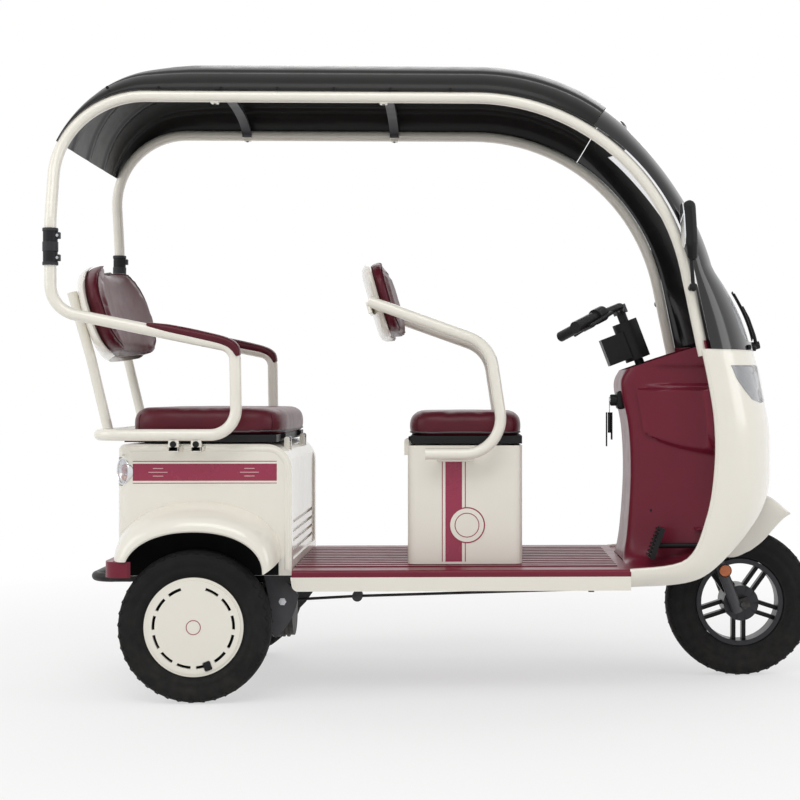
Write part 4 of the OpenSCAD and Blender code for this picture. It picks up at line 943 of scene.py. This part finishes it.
# Each fender's arch against the body and at its lip: half length, rise and height of its foot
FENDER_ROOT, FENDER_LIP, FENDER_OUT = (226, 151, 388), (190, 118, 350), 104


def side_block(side, xs, ys, zs, bevel, steps=3):
    """A rounded block on one side, given as ranges forward, out from the middle and up."""
    near, far = sorted(side * y for y in ys)
    return rounded_block((xs[0], near, zs[0]), (xs[1], far, zs[1]), bevel, steps)


def fender_grid(side, inset, rows=96, cols=28):
    grid = []
    for a in (math.pi * i / rows for i in range(rows + 1)):
        row = []
        for u in (j / cols for j in range(cols + 1)):
            c = math.pi / 2 * u
            half, rise, _ = (mixed(root, lip, 1 - math.cos(c)) for root, lip in zip(FENDER_ROOT, FENDER_LIP))
            foot = mixed(FENDER_ROOT[2], FENDER_LIP[2], u)
            row.append(at((half - inset) * signed_power(math.cos(a), 0.92),
                          side * (REAR_HALF + (FENDER_OUT - inset * u) * math.sin(c) + 0.3),
                          foot + (rise - inset) * max(0, math.sin(a)) ** 0.92))
        grid.append(row)
    return grid


for side, word in SIDES:
    fender_skins = shell(fender_grid(side, 0), fender_grid(side, WALL))
    fender = piece(f"rear_fender_{word}", *fender_skins, cream_moulding, "cream_panel")
    cut(fender, side_block(side, (-400, -100), (200, 600), (200, 384.3), 0.5))
    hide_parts("rear_fenders")
dress(maroon_moulding, "rear_bumper")
# Flat black for the liners under the fenders, and painted shade on the arch sheets
liner_and_painted_shade_black = finish_of("liner_and_painted_shade_black", (0.010, 0.010, 0.010), 0.75, gleam=0.05, grain=300, depth=0.3)
liners = [shell(fender_grid(side, 5, 48, 14), fender_grid(side, 7, 48, 14)) for side in (-1, 1)]
liner = piece("wheel_well_liners", *joined(*liners), liner_and_painted_shade_black, "black_plastic")
cut(liner, rounded_block((-400, -600, 200), (-100, 600, 384.3), 0.5))
# Painted shade: a black sheet on the body's side inside each arch, down to the body's foot, standing in for the
# shaded open wheel well
BODY_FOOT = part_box("rear_body")[0].z * 1000 + 1
sheets = []
for side in (-1, 1):
    arch = [((row[0].x - rear_axle_x) * 1000, row[0].z * 1000) for row in fender_grid(side, 8, 48, 2)]
    arch = [(arch[0][0], BODY_FOOT)] + arch + [(arch[-1][0], BODY_FOOT)]
    sheets.append(prism(arch, *sorted((side * (REAR_HALF + 0.4), side * (REAR_HALF + 1.2)))))
piece("wheel_arch_sheets", *joined(*sheets), liner_and_painted_shade_black, "black_plastic")

# Raised border round each side panel, along the top and down the front edge.
body_low, body_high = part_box("rear_body")
BODY_FRONT = (body_high.x - rear_axle_x) * 1000
BODY_TOP = 698
border = [(-188, BODY_TOP - 14)] + corner((BODY_FRONT - 70, BODY_TOP - 70), 56, 90, 0) + [(BODY_FRONT - 14, 352)]
borders = [sweep([at(x, side * (REAR_HALF - 4), z) for x, z in border], 0.009, 16, flat=0.72, up=(0, 1, 0))
           for side in (-1, 1)]
piece("side_panel_borders", *joined(*borders), cream_moulding, "cream_panel")

# Printed stripes: one wide maroon band between two fine lines, and groups of short dashes, no lettering.
stripe_red = finish_of("stripe_red", (0.330, 0.026, 0.072), 0.26, gleam=0.25, shade=0.06, grain=300, depth=0.02,
                       coat=0.4)
dash_pink = finish_of("dash_pink", (0.72, 0.48, 0.50), 0.30, shade=0.05, grain=300, depth=0.02)


def strip(side, xs, zs, proud):
    return side_block(side, xs, (REAR_HALF - 0.4, REAR_HALF + proud), zs, 0.15, steps=1)


bands = [strip(side, (-181, 213), zs, 0.35) for side in (-1, 1)
         for zs in ((597, 644), (589.5, 591.5), (649.5, 651.5))]
dashes = [strip(side, (x - reach, x + reach), (z - 1, z + 1), 0.6) for side in (-1, 1) for x in (-112, 138)
          for z, reach in ((610, 14), (620.5, 26), (631, 14))]
piece("side_stripes", *joined(*bands), stripe_red, "maroon_panel", crease=20)
piece("side_stripe_dashes", *joined(*dashes), dash_pink, "cream_panel", crease=20)

# Tail lamps: a bright ring and bowl sunk into each rear corner, with a clear lens over red and amber.
lamp_red = finish_of("lamp_red", (0.36, 0.012, 0.010), 0.14, shade=0.2, grain=240, depth=0.10, coat=0.6)
lamp_amber = finish_of("lamp_amber", (0.62, 0.14, 0.012), 0.16, shade=0.2, grain=240, depth=0.10, coat=0.5)
# Each part's name, finish, slot, height and spread from the lamp's middle, and turned profile
TAIL_LAMP = (
    ("ring", bright_coat, "clear_lens", 0, (0,),
     [(33, -6), (40, -6), (40, 4.5), (38.5, 7), (36.5, 7.6), (34.5, 6.5), (33, 2), (33, -6)]),
    ("bowl", bright_coat, "clear_lens", 0, (0,), [(0, -6), (33.5, -6), (33.5, 3), (31, 3), (24, -2.5), (0, -4)]),
    ("red", lamp_red, "maroon_panel", 0.006, (0,), [(0, -3), (13, -3), (15, 1), (12, 5), (6, 7), (0, 7.4)]),
    ("amber", lamp_amber, "maroon_panel", -0.017, (0.010, -0.010), [(0, -3), (7, -3), (8, 1), (6, 4), (0, 5)]),
    ("lens", lens_clear, "clear_lens", 0, (0,),
     [(0, 12.2), (18, 11), (28, 8.6), (34.2, 5.2), (34.2, 3.8), (28, 7.2), (18, 9.6), (0, 10.8)]),
)


def turned_out(profile, side, up, across):
    """A turned form facing back and outward at one rear corner of the body."""
    aim = Matrix.Rotation(math.radians(-36 * side), 3, "Z")
    seat = at((body_low.x - rear_axle_x) * 1000 + 20, side * (REAR_HALF - 28), 622)
    vertices, faces = lathe(profile, Vector((0, 0, 0)), "X", 48)
    return [seat + aim @ Vector((-v.x, v.y + across, v.z + up)) for v in vertices], faces


for word, finish, slot, up, spread, profile in TAIL_LAMP:
    parts = [turned_out(profile, side, up, across) for side in (-1, 1) for across in spread]
    made = piece(f"tail_lamp_{word}s", *joined(*parts), finish, slot)
    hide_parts("tail_lamps")

# Latch at the back, screws round the body's foot, and the pivot bolt with its washer on each side plate.
latch = joined(rounded_block((-250, -24, 478), (-226, 24, 512), 5), rounded_block((-259, -9, 470), (-240, 9, 494), 4))
piece("rear_latch", *latch, black_moulding, "black_plastic")
places = [at(x, side * (REAR_HALF + 0.2), z) for side in (-1, 1) for x, z in ((-206, 668), (241, 372), (241, 560))]
screws("body_screws", places, [(0, -1, 0)] * 3 + [(0, 1, 0)] * 3, steel_screws, 0.0035, 0.0018)
bolt_marks = [at(224, side * 300.2, 259) for side in (-1, 1)]
screws("side_plate_bolts", bolt_marks, [(0, -1, 0), (0, 1, 0)], steel_screws, 0.011, 0.006, 6)
dress(chassis_paint, "rear_springs")


# ---- Bench and driver seat frames: cream powder-coated tube bent into arm loops, bolted to the body's
# sides, with the backrest posts and plates welded on.
ARM_Y, BASE_Z, CROSS_X, BACK_Y = 403, 724.5, -268, 240
seat_side = [(POST_X, POST_Y, SLEEVE_Z - 1), (POST_X, POST_Y, 1062), (108, ARM_Y, 962), (112, ARM_Y, BASE_Z),
             (CROSS_X, ARM_Y, BASE_Z)]
seat_run = seat_side + [(x, -y, z) for x, y, z in reversed(seat_side)]
bench_tubes = [sweep(bent(seat_run, [84, 44, 70, 60, 60, 70, 44, 84], 4), TUBE_R, 32)]
for run in both([(CROSS_X, BACK_Y, BASE_Z), (-318, BACK_Y, 935), (-371, BACK_Y, 1120)]):
    bench_tubes.append(sweep(bent(run, [80], 4), 0.014, 28))
LUG_XS, LUG_HALF = (-57, 4), 14
for side in (-1, 1):
    for x in LUG_XS:
        reach = (x - LUG_HALF, x + LUG_HALF)
        bench_tubes.append(side_block(side, reach, (REAR_HALF + 0.5, ARM_Y + 8), (BASE_Z - 46, BASE_Z - 30), 3))
        bench_tubes.append(side_block(side, reach, (ARM_Y - 8, ARM_Y + 8), (BASE_Z - 46, BASE_Z - 6), 3))
bench_frame = piece("bench_frame_tubes", *joined(*bench_tubes), powder_cream, "cream_tube")
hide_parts("rear_seat_frame")
DRIVER_Y, BOX_TOP, BACK_LEAN = 289, 690, math.radians(16)
driver_run = [(462, DRIVER_Y, 1094.5), (800, DRIVER_Y, 974), (846, DRIVER_Y, BOX_TOP - 22),
              (620, DRIVER_Y, BOX_TOP - 22)]
driver_tubes = [sweep(bent(run, [105, 100], 4), TUBE_R, 32) for run in both(driver_run)]
for side in (-1, 1):
    driver_tubes.append(side_block(side, (652, 756), (235.4, DRIVER_Y - 6), (BOX_TOP - 44, BOX_TOP - 8), 4))
for side in (-1, 1):
    plate = side_block(side, (-54, -44.4), (185, DRIVER_Y + 8), (76, 110), 2)
    driver_tubes.append(moved(plate, at(536, 0, 1000), Matrix.Rotation(-BACK_LEAN, 3, "Y")))
caps = [lathe([(r, side * out) for r, out in ((0, 0), (8.6, 0), (8.6, 3), (7, 6), (0, 7))],
              at(x, side * (ARM_Y + 8), BASE_Z - 25), "Y", 28) for side in (-1, 1) for x in LUG_XS]
piece("bench_lug_caps", *joined(*caps), black_moulding, "black_plastic", crease=30)
driver_frame = piece("driver_frame_tubes", *joined(*driver_tubes), powder_cream, "cream_tube")
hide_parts("driver_seat_frame")

# Driver's seat box: a maroon band with two fine lines down each side and a plain ringed disc.
BOX_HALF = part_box("seat_box")[1].y * 1000
box_bands, discs, rings = [], [], []
for side in (-1, 1):
    for xs in ((675, 722), (665, 667.5), (730, 732.5)):
        box_bands.append(side_block(side, xs, (BOX_HALF - 0.4, BOX_HALF + 0.35), (362, 646), 0.15, steps=1))
    centre = at(736, side * BOX_HALF, 465)
    for outer, inner, proud, into in ((51, 0, 0.7, discs), (51, 47.5, 1.0, rings), (35, 32.5, 1.0, rings)):
        profile = [(inner, -0.3), (outer, -0.3), (outer, proud), (inner, proud)] + ([(inner, -0.3)] if inner else [])
        into.append(lathe([(r, side * along) for r, along in profile], centre, "Y", 72))
piece("seat_box_bands", *joined(*box_bands), stripe_red, "maroon_panel", crease=20)
piece("seat_box_discs", *joined(*discs), cream_moulding, "cream_panel", crease=20)
piece("seat_box_disc_rings", *joined(*rings), stripe_red, "maroon_panel", crease=20)


# ---- Upholstery: foam cushions, backrests and arm pads under grained maroon vinyl, sewn with a welt and
# corner seams and set on black pans and cream back shells.
maroon_vinyl = finish_of("maroon_vinyl", (0.100, 0.010, 0.019), 0.36, gleam=0.2, shade=0.22, grain=1500, depth=0.30,
                         swell=0.10, coat=0.04)
welt_vinyl = finish_of("welt_vinyl", (0.060, 0.008, 0.014), 0.42, gleam=0.15, shade=0.2, grain=1800, depth=0.25)
welt_grey = finish_of("welt_grey", (0.10, 0.095, 0.10), 0.5, gleam=0.2, shade=0.2, grain=1800, depth=0.25)


CLOTH_STEPS = 20


def stuffed(name, form, finish, slot, body, voxel, cap, floor_z=None, node=None, pressure=4.0):
    """Foam under a tight cover: the form is remeshed, blown up a little as cloth, capped and kept off its pan."""
    vertices, faces = form
    made = piece(name, vertices, faces, finish, slot, body, crease=180)
    applied(made, kind="REMESH", mode="VOXEL", voxel_size=voxel)
    start = [v.co.copy() for v in made.data.vertices]
    cloth = made.modifiers.new("cloth", "CLOTH")
    cloth.settings.use_pressure = True
    cloth.settings.uniform_pressure_force = pressure
    cloth.settings.effector_weights.gravity = 0
    cloth.settings.tension_stiffness = 18
    cloth.settings.bending_stiffness = 0.6
    cloth.point_cache.frame_start, cloth.point_cache.frame_end = 1, CLOTH_STEPS
    scene = bpy.context.scene
    for step in range(1, CLOTH_STEPS + 1):
        scene.frame_set(step)
    graph = bpy.context.evaluated_depsgraph_get()
    blown = bpy.data.meshes.new_from_object(made.evaluated_get(graph))
    made.modifiers.remove(cloth)
    moved = [v.co.copy() for v in blown.vertices]
    bpy.data.meshes.remove(blown)
    scene.frame_set(1)
    for v, old, new in zip(made.data.vertices, start, moved):
        step = new - old
        if step.length > cap:
            step *= cap / step.length
        v.co = old + step
    form = bmesh.new()
    form.from_mesh(made.data)

    def off_the_pan():
        for v in form.verts:
            if floor_z is not None:
                v.co.z = max(v.co.z, floor_z)

    off_the_pan()
    for _ in range(2):
        bmesh.ops.smooth_vert(form, verts=form.verts, factor=0.5, use_axis_x=True, use_axis_y=True, use_axis_z=True)
    off_the_pan()
    bmesh.ops.recalc_face_normals(form, faces=form.faces)
    for face in form.faces:
        face.smooth = True
    form.to_mesh(made.data)
    form.free()
    made.data.materials.clear()
    made.data.materials.append(finish)
    if node:
        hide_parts(node)
    return made


def on_surface(made, points, lift=0.0):
    """The points pulled onto a piece's surface, lifted off it a little."""
    tree = BVHTree.FromObject(made, bpy.context.evaluated_depsgraph_get())
    found = []
    for p in points:
        spot, normal, _, _ = tree.find_nearest(Vector(p))
        found.append(spot + normal * lift)
    return found


PAD_POWER = 0.35


def pad_ring(middle, w, d, z, steps=160):
    ring = []
    for a in (2 * math.pi * (i + 0.5) / steps for i in range(steps)):
        ring.append(at(middle[0] + d / 2 * signed_power(math.sin(a), PAD_POWER),
                       middle[1] + w / 2 * signed_power(math.cos(a), PAD_POWER), z))
    return ring


def lofted(rings):
    count = len(rings[0])
    vertices = [p for ring in rings for p in ring]
    faces = [tuple(range(count)), tuple((len(rings) - 1) * count + i for i in range(count))]
    for k in range(len(rings) - 1):
        for i in range(count):
            j = (i + 1) % count
            faces.append((k * count + i, k * count + j, (k + 1) * count + j, (k + 1) * count + i))
    return vertices, faces


def cushion_form(middle, w, d, z, h, edge):
    rings = [pad_ring(middle, w - edge * 0.7, d - edge * 0.7, z)]
    for grow, rise in ((0.25, edge * 0.2), (0.06, edge * 0.5), (0.0, edge * 0.9)):
        rings.append(pad_ring(middle, w - edge * grow, d - edge * grow, z + rise))
    for grow, rise in ((0.0, h - edge * 1.3), (0.12, h - edge * 0.85), (0.42, h - edge * 0.48),
                       (0.95, h - edge * 0.2), (1.8, h - edge * 0.06)):
        rings.append(pad_ring(middle, w - edge * grow, d - edge * grow, z + rise))
    for share, rise in ((0.7, 0.0), (0.45, 3.0), (0.2, 4.5)):
        rings.append(pad_ring(middle, (w - edge * 2) * share, (d - edge * 2) * share, z + h - 3 + rise * 0.6))
    return lofted(rings)


def cushion(name, node, body, edge):
    low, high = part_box(node)
    d, w = (high.x - low.x) * 1000, (high.y - low.y) * 1000
    middle = ((low.x + high.x) / 2 - rear_axle_x) * 1000
    z, h = low.z * 1000, (high.z - low.z) * 1000
    made = stuffed(name, cushion_form((middle, 0), w - 6, d - 6, z, h - 2, edge), maroon_vinyl, "maroon_vinyl",
                   body, 0.0065, 0.008, floor_z=low.z + 0.0002, node=node)
    loop = on_surface(made, pad_ring((middle, 0), w - edge * 0.15, d - edge * 0.15, z + 5, 200), 0.0006)
    piece(f"{name}_welt", *sweep(loop, 0.0022, 10, closed=True), welt_grey, "black_plastic", body)
    darts = []
    for sx in (-1, 1):
        for sy in (-1, 1):
            line = [Vector((sx * (0.93 - 0.09 * t) * d / 2, sy * (0.955 - 0.055 * t) * w / 2, z + 6 + (h - 12) * t))
                    for t in (k / 14 for k in range(15))]
            darts.append(sweep(on_surface(made, [at(middle + p.x, p.y, p.z) for p in line], 0.0002), 0.0011, 6))
    piece(f"{name}_corner_seams", *joined(*darts), welt_vinyl, "maroon_vinyl", body)


cushion("bench_cushion", "rear_cushion", "rear_lid", 26)
cushion("driver_cushion_pad", "driver_cushion", "driver_lid", 24)


# Backrests: a dished foam pad on a cream moulded back, higher at the middle, its ends turned forward.
FOOT_CURVE = (3.2, 0.36)


def back_half(t, w, upper):
    """Half width of a backrest at a share of its height. The upper half has its own curve."""
    power, root = upper if t > 0.5 else FOOT_CURVE
    return w / 2 * max(0, 1 - abs(2 * t - 1) ** power) ** root


def back_at(base, w, h, bow, upper, u, t, off):
    y = back_half(0.02 + 0.96 * t, w, upper) * u
    x = -off + bow * u * u
    rise = h * (0.02 + 0.96 * t)
    return at(base[0] - rise * math.sin(BACK_LEAN) + x * math.cos(BACK_LEAN), y,
              base[1] + rise * math.cos(BACK_LEAN) + x * math.sin(BACK_LEAN))


def pillow(base, w, h, bow, upper, front, back, power=9, rows=44, cols=72):
    """A closed pad between two offsets, its edge rolled over."""
    grids = []
    for off in (front, back):
        grid = []
        for i in range(rows + 1):
            t = i / rows
            row = []
            for j in range(cols + 1):
                u = -1 + 2 * j / cols
                edge = max(abs(u), abs(2 * t - 1))
                share = max(0.0, 1 - edge ** power) ** 0.5
                middle = (front + back) / 2
                row.append(back_at(base, w, h, bow, upper, u, t, middle + (off - middle) * share))
            grid.append(row)
        grids.append(grid)
    return shell(*grids)


def backrest(word, base, w, h, bow, upper, front, back, shell_back, nodes):
    pad = stuffed(f"{word}_back_foam", pillow(base, w - 4, h - 4, bow, upper, front + 2, back - 1), maroon_vinyl,
                  "maroon_vinyl", MAIN, 0.006, 0.006, node=nodes[0])
    cover = piece(f"{word}_backrest_back", *pillow(base, w - 4, h - 4, bow, upper, back - 6, shell_back, power=7),
                  cream_moulding, "cream_panel", crease=40)
    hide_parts(nodes[1])
    line = []
    for k in range(200):
        a = 2 * math.pi * k / 200
        u = signed_power(math.cos(a), 0.32) * 0.955
        t = 0.5 + 0.46 * signed_power(math.sin(a), 0.5)
        line.append(back_at(base, w, h, bow, upper, u, t, front + 3))
    welt = sweep(on_surface(pad, line, 0.0008), 0.0019, 8, closed=True)
    piece(f"{word}_backrest_welt", *welt, welt_vinyl, "maroon_vinyl")


backrest("bench", (-266, 940), 690, 285, 50, (2.4, 0.5), -10, 44, 64, ("rear_backrest_pad", "rear_backrest_shell"))
backrest("driver", (536, 1000), 540, 238, 22, FOOT_CURVE, -6, 36, 56,
         ("driver_backrest_pad", "driver_backrest_shell"))


# Arm pads: foam saddles round the arm tubes, thinner toward their ends.
def arm_line(t):
    return through([(-128, 1022.7), (-60, 1008.6), (10, 994.2), (76, 979), (105, 964), (118, 938)], t)


ARM_STEPS, ARM_THICK, ARM_HALF = 60, 13.0, 21.5
arm_pads = []
for side in (-1, 1):
    spine = [arm_line(i / ARM_STEPS) for i in range(ARM_STEPS + 1)]
    rings = []
    for i, p in enumerate(spine):
        thick = ARM_THICK * min(1, 0.45 + 3.2 * min(i / ARM_STEPS, 1 - i / ARM_STEPS))
        along = (spine[min(i + 1, ARM_STEPS)] - spine[max(i - 1, 0)]).normalized()
        up = Vector((-along.y, along.x))
        ring = []
        for a in (2 * math.pi * k / 32 for k in range(32)):
            q = p + up * (thick * signed_power(math.sin(a), 0.8))
            ring.append(at(q.x, side * (ARM_Y + 1) + ARM_HALF * signed_power(math.cos(a), 0.7), q.y))
        rings.append(ring)
    arm_pads.append(lofted(rings))
stuffed("arm_pads", joined(*arm_pads), maroon_vinyl, "maroon_vinyl", MAIN, 0.0035, 0.002,
        node="armrest_pads", pressure=1.5)


# ---- Steering: a black telescopic fork on a steel stem, a cream mudguard fixed to it, a bent handlebar
# with rubber grips, switch housings and levers, and a shroud round the column's head.
dress(chassis_paint, "steering_fork", "handlebar")
STEER = "steering"
tyre_low, tyre_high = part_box("front_tyre")
front_axle = (tyre_low + tyre_high) / 2
FRONT_R_MM = (tyre_high.z - tyre_low.z) * 500
front_x = (front_axle.x - rear_axle_x) * 1000


def guard_top(t):
    return FRONT_R_MM + through([(0, 87), (0, 108), (0, 104), (0, 102), (0, 100), (0, 90)], t).y


def guard_low(t):
    return FRONT_R_MM + through([(0, 82), (0, -13), (0, -53), (0, -70), (0, -79), (0, -79), (0, -70), (0, -50),
                                 (0, -8)], t).y


def guard_grid(inset, rows=96, cols=64):
    grid = []
    for i in range(rows + 1):
        t = i / rows
        a = math.radians(61 + 67 * t)
        low = guard_low(t)
        row = []
        for j in range(cols + 1):
            b = math.pi * j / cols
            radius = mixed(low, guard_top(t) - inset, math.sin(b) ** 0.4 if 0 < j < cols else 0)
            across = (58 - inset) * signed_power(math.cos(b), 0.5)
            row.append(at(front_x + radius * math.cos(a), across, FRONT_R_MM + radius * math.sin(a)))
        grid.append(row)
    return grid


guard_skins = shell(guard_grid(0), guard_grid(WALL))
guard = piece("front_mudguard_shell", *guard_skins, cream_moulding, "cream_panel", STEER)
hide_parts("front_mudguard")

# Round amber reflector in a black cup on each fork leg.
REFLECTOR = ((0, 3), (15, 2), (17, 0), (17, -3), (0, -3))
CUP = ((0, -3.2), (19, -3.2), (19.5, 0.4), (18, 0.4), (17.6, -2.8), (0, -2.8))
for name, profile, finish, slot in (("fork_reflectors", REFLECTOR, lamp_amber, "maroon_panel"),
                                    ("fork_reflector_cups", CUP, black_moulding, "black_plastic")):
    turned = [lathe([(r, side * out) for r, out in profile], at(1492, side * 95, 318), "Y", 40) for side in (-1, 1)]
    piece(name, *joined(*turned), finish, slot, STEER)


# ---- Wheels: ten-inch tubeless tyres with ribbed treads on a black five-spoke alloy rim in front and
# pressed rims behind slotted cream covers at the rear.
tyre_rubber = finish_of("tyre_rubber", (0.014, 0.014, 0.0145), 0.62, gleam=0.1, shade=0.25, grain=700, depth=0.28,
                        dust=0.05)
alloy_black = finish_of("alloy_black", (0.014, 0.014, 0.015), 0.34, gleam=0.18, metal=0.5, grain=900, depth=0.06,
                        shade=0.2, wear=(0.05, 0.05, 0.055))
dress(alloy_black, "front_rim", "rear_rim_right", "rear_rim_left")
RIM_R = 129


def tyre_section(r, w):
    """The tyre's section: ribs on the tread, then a rounded shoulder, a marked side wall and a bead each side."""
    half = w / 2
    profile = []
    tread = half - 15
    for k in range(41):
        y = -tread + 2 * tread * k / 40
        groove = 3.2 * max(0, math.cos(y / tread * math.pi * 2.5)) ** 10 if abs(y) < tread * 0.93 else 0
        profile.append((r - 2.6 * (y / tread) ** 2 - groove, y))
    side = [(r - 5.5, half - 9), (r - 10, half - 4), (r - 17, half - 1.6), (r - 19, half - 1.9),
            (r - 20.5, half - 0.9), (r - 28, half - 0.2), (r - 38, half), (r - 40, half - 0.8), (r - 50, half - 0.9),
            (r - 52, half - 0.2), (r - 60, half - 2.4), (RIM_R + 12, half - 8), (RIM_R + 8, half - 9.5),
            (RIM_R + 4, half - 8.5), (RIM_R + 1, half - 12), (RIM_R + 0.5, half - 16)]
    side = [(max(p[0], RIM_R + 0.5), p[1]) for p in side]
    return [(p[0], -p[1]) for p in reversed(side)] + profile + side + [(RIM_R + 0.5, -(half - 16))]


def lug_tree(finish):
    """Shoulder lugs: plain blocks set round the tyre, turned outward."""
    tree, given, out = tree_with("shoulder_lugs", {"Length": 0.012, "Width": 0.007, "Height": 0.006})
    size = node_in(tree, "ShaderNodeCombineXYZ", {
        "X": given.outputs["Width"], "Y": given.outputs["Length"], "Z": given.outputs["Height"]})
    lug = node_in(tree, "GeometryNodeMeshCube", {"Size": size.outputs[0]})
    return set_on_points(tree, given, out, lug.outputs["Mesh"], finish)


LUG_SIZES = {"Length": 0.011, "Width": 0.014, "Height": 0.005}
lugs = lug_tree(tyre_rubber)
for node, body, tread in (("front_tyre", "front_wheel", 44), ("rear_tyre_right", "rear_wheel_right", 40),
                          ("rear_tyre_left", "rear_wheel_left", 40)):
    low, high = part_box(node)
    hub = (low + high) / 2
    r, w = (high.z - low.z) * 500, (high.y - low.y) * 1000
    made = piece(f"{node}_carcass", *lathe(tyre_section(r - 0.2, w - 0.4), hub, "Y", 144), tyre_rubber,
                 "tyre_rubber", body, crease=50)
    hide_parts(node)
    marks, facings = [], []
    for k in range(tread):
        for side in (-1, 1):
            a = 2 * math.pi * (k + 0.25 * side) / tread
            reach = r - 7.5
            marks.append(hub + Vector((reach * math.cos(a), side * (w / 2 - 8.5), reach * math.sin(a))) / 1000)
            facings.append(Vector((math.cos(a), side * 0.75, math.sin(a))))
    grown(f"{node}_shoulder_lugs", points_facing(marks, facings), lugs, LUG_SIZES, body)


# Each rear cover's black valve block and its plain ring round the middle.
def on_cover(side, word, x, z):
    """The point of a rear wheel's cover met from outside, so far forward of its middle and above it."""
    low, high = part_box(f"wheel_cover_{word}")
    middle = (low + high) / 2
    outside, face = (high.y + 0.05, high.y) if side > 0 else (low.y - 0.05, low.y)
    start = Vector((middle.x + x / 1000, outside, middle.z + z / 1000))
    hit, spot, _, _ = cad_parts[f"wheel_cover_{word}"].ray_cast(start, Vector((0, -side, 0)))
    return spot if hit else Vector((start.x, face, start.z))


for side, word in SIDES:
    body = f"rear_wheel_{word}"
    ring = [on_cover(side, word, 19 * math.cos(a), 19 * math.sin(a)) for a in (math.pi * k / 32 for k in range(64))]
    piece(f"cover_ring_{word}", *sweep(ring, 0.0011, 8, closed=True), stripe_red, "maroon_panel", body)
    block = moved(rounded_block((-11, -2, -13), (11, 3, 13), 4.5), on_cover(side, word, 38, -104),
                  Matrix.Rotation(math.radians(-20), 3, "Y"))
    piece(f"valve_block_{word}", *block, black_moulding, "black_plastic", body)



# Every solid part that still shows has a finish.
for node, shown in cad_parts.items():
    if not shown.hide_render and not shown.data.materials:
        raise RuntimeError(f"{node} has no finish")
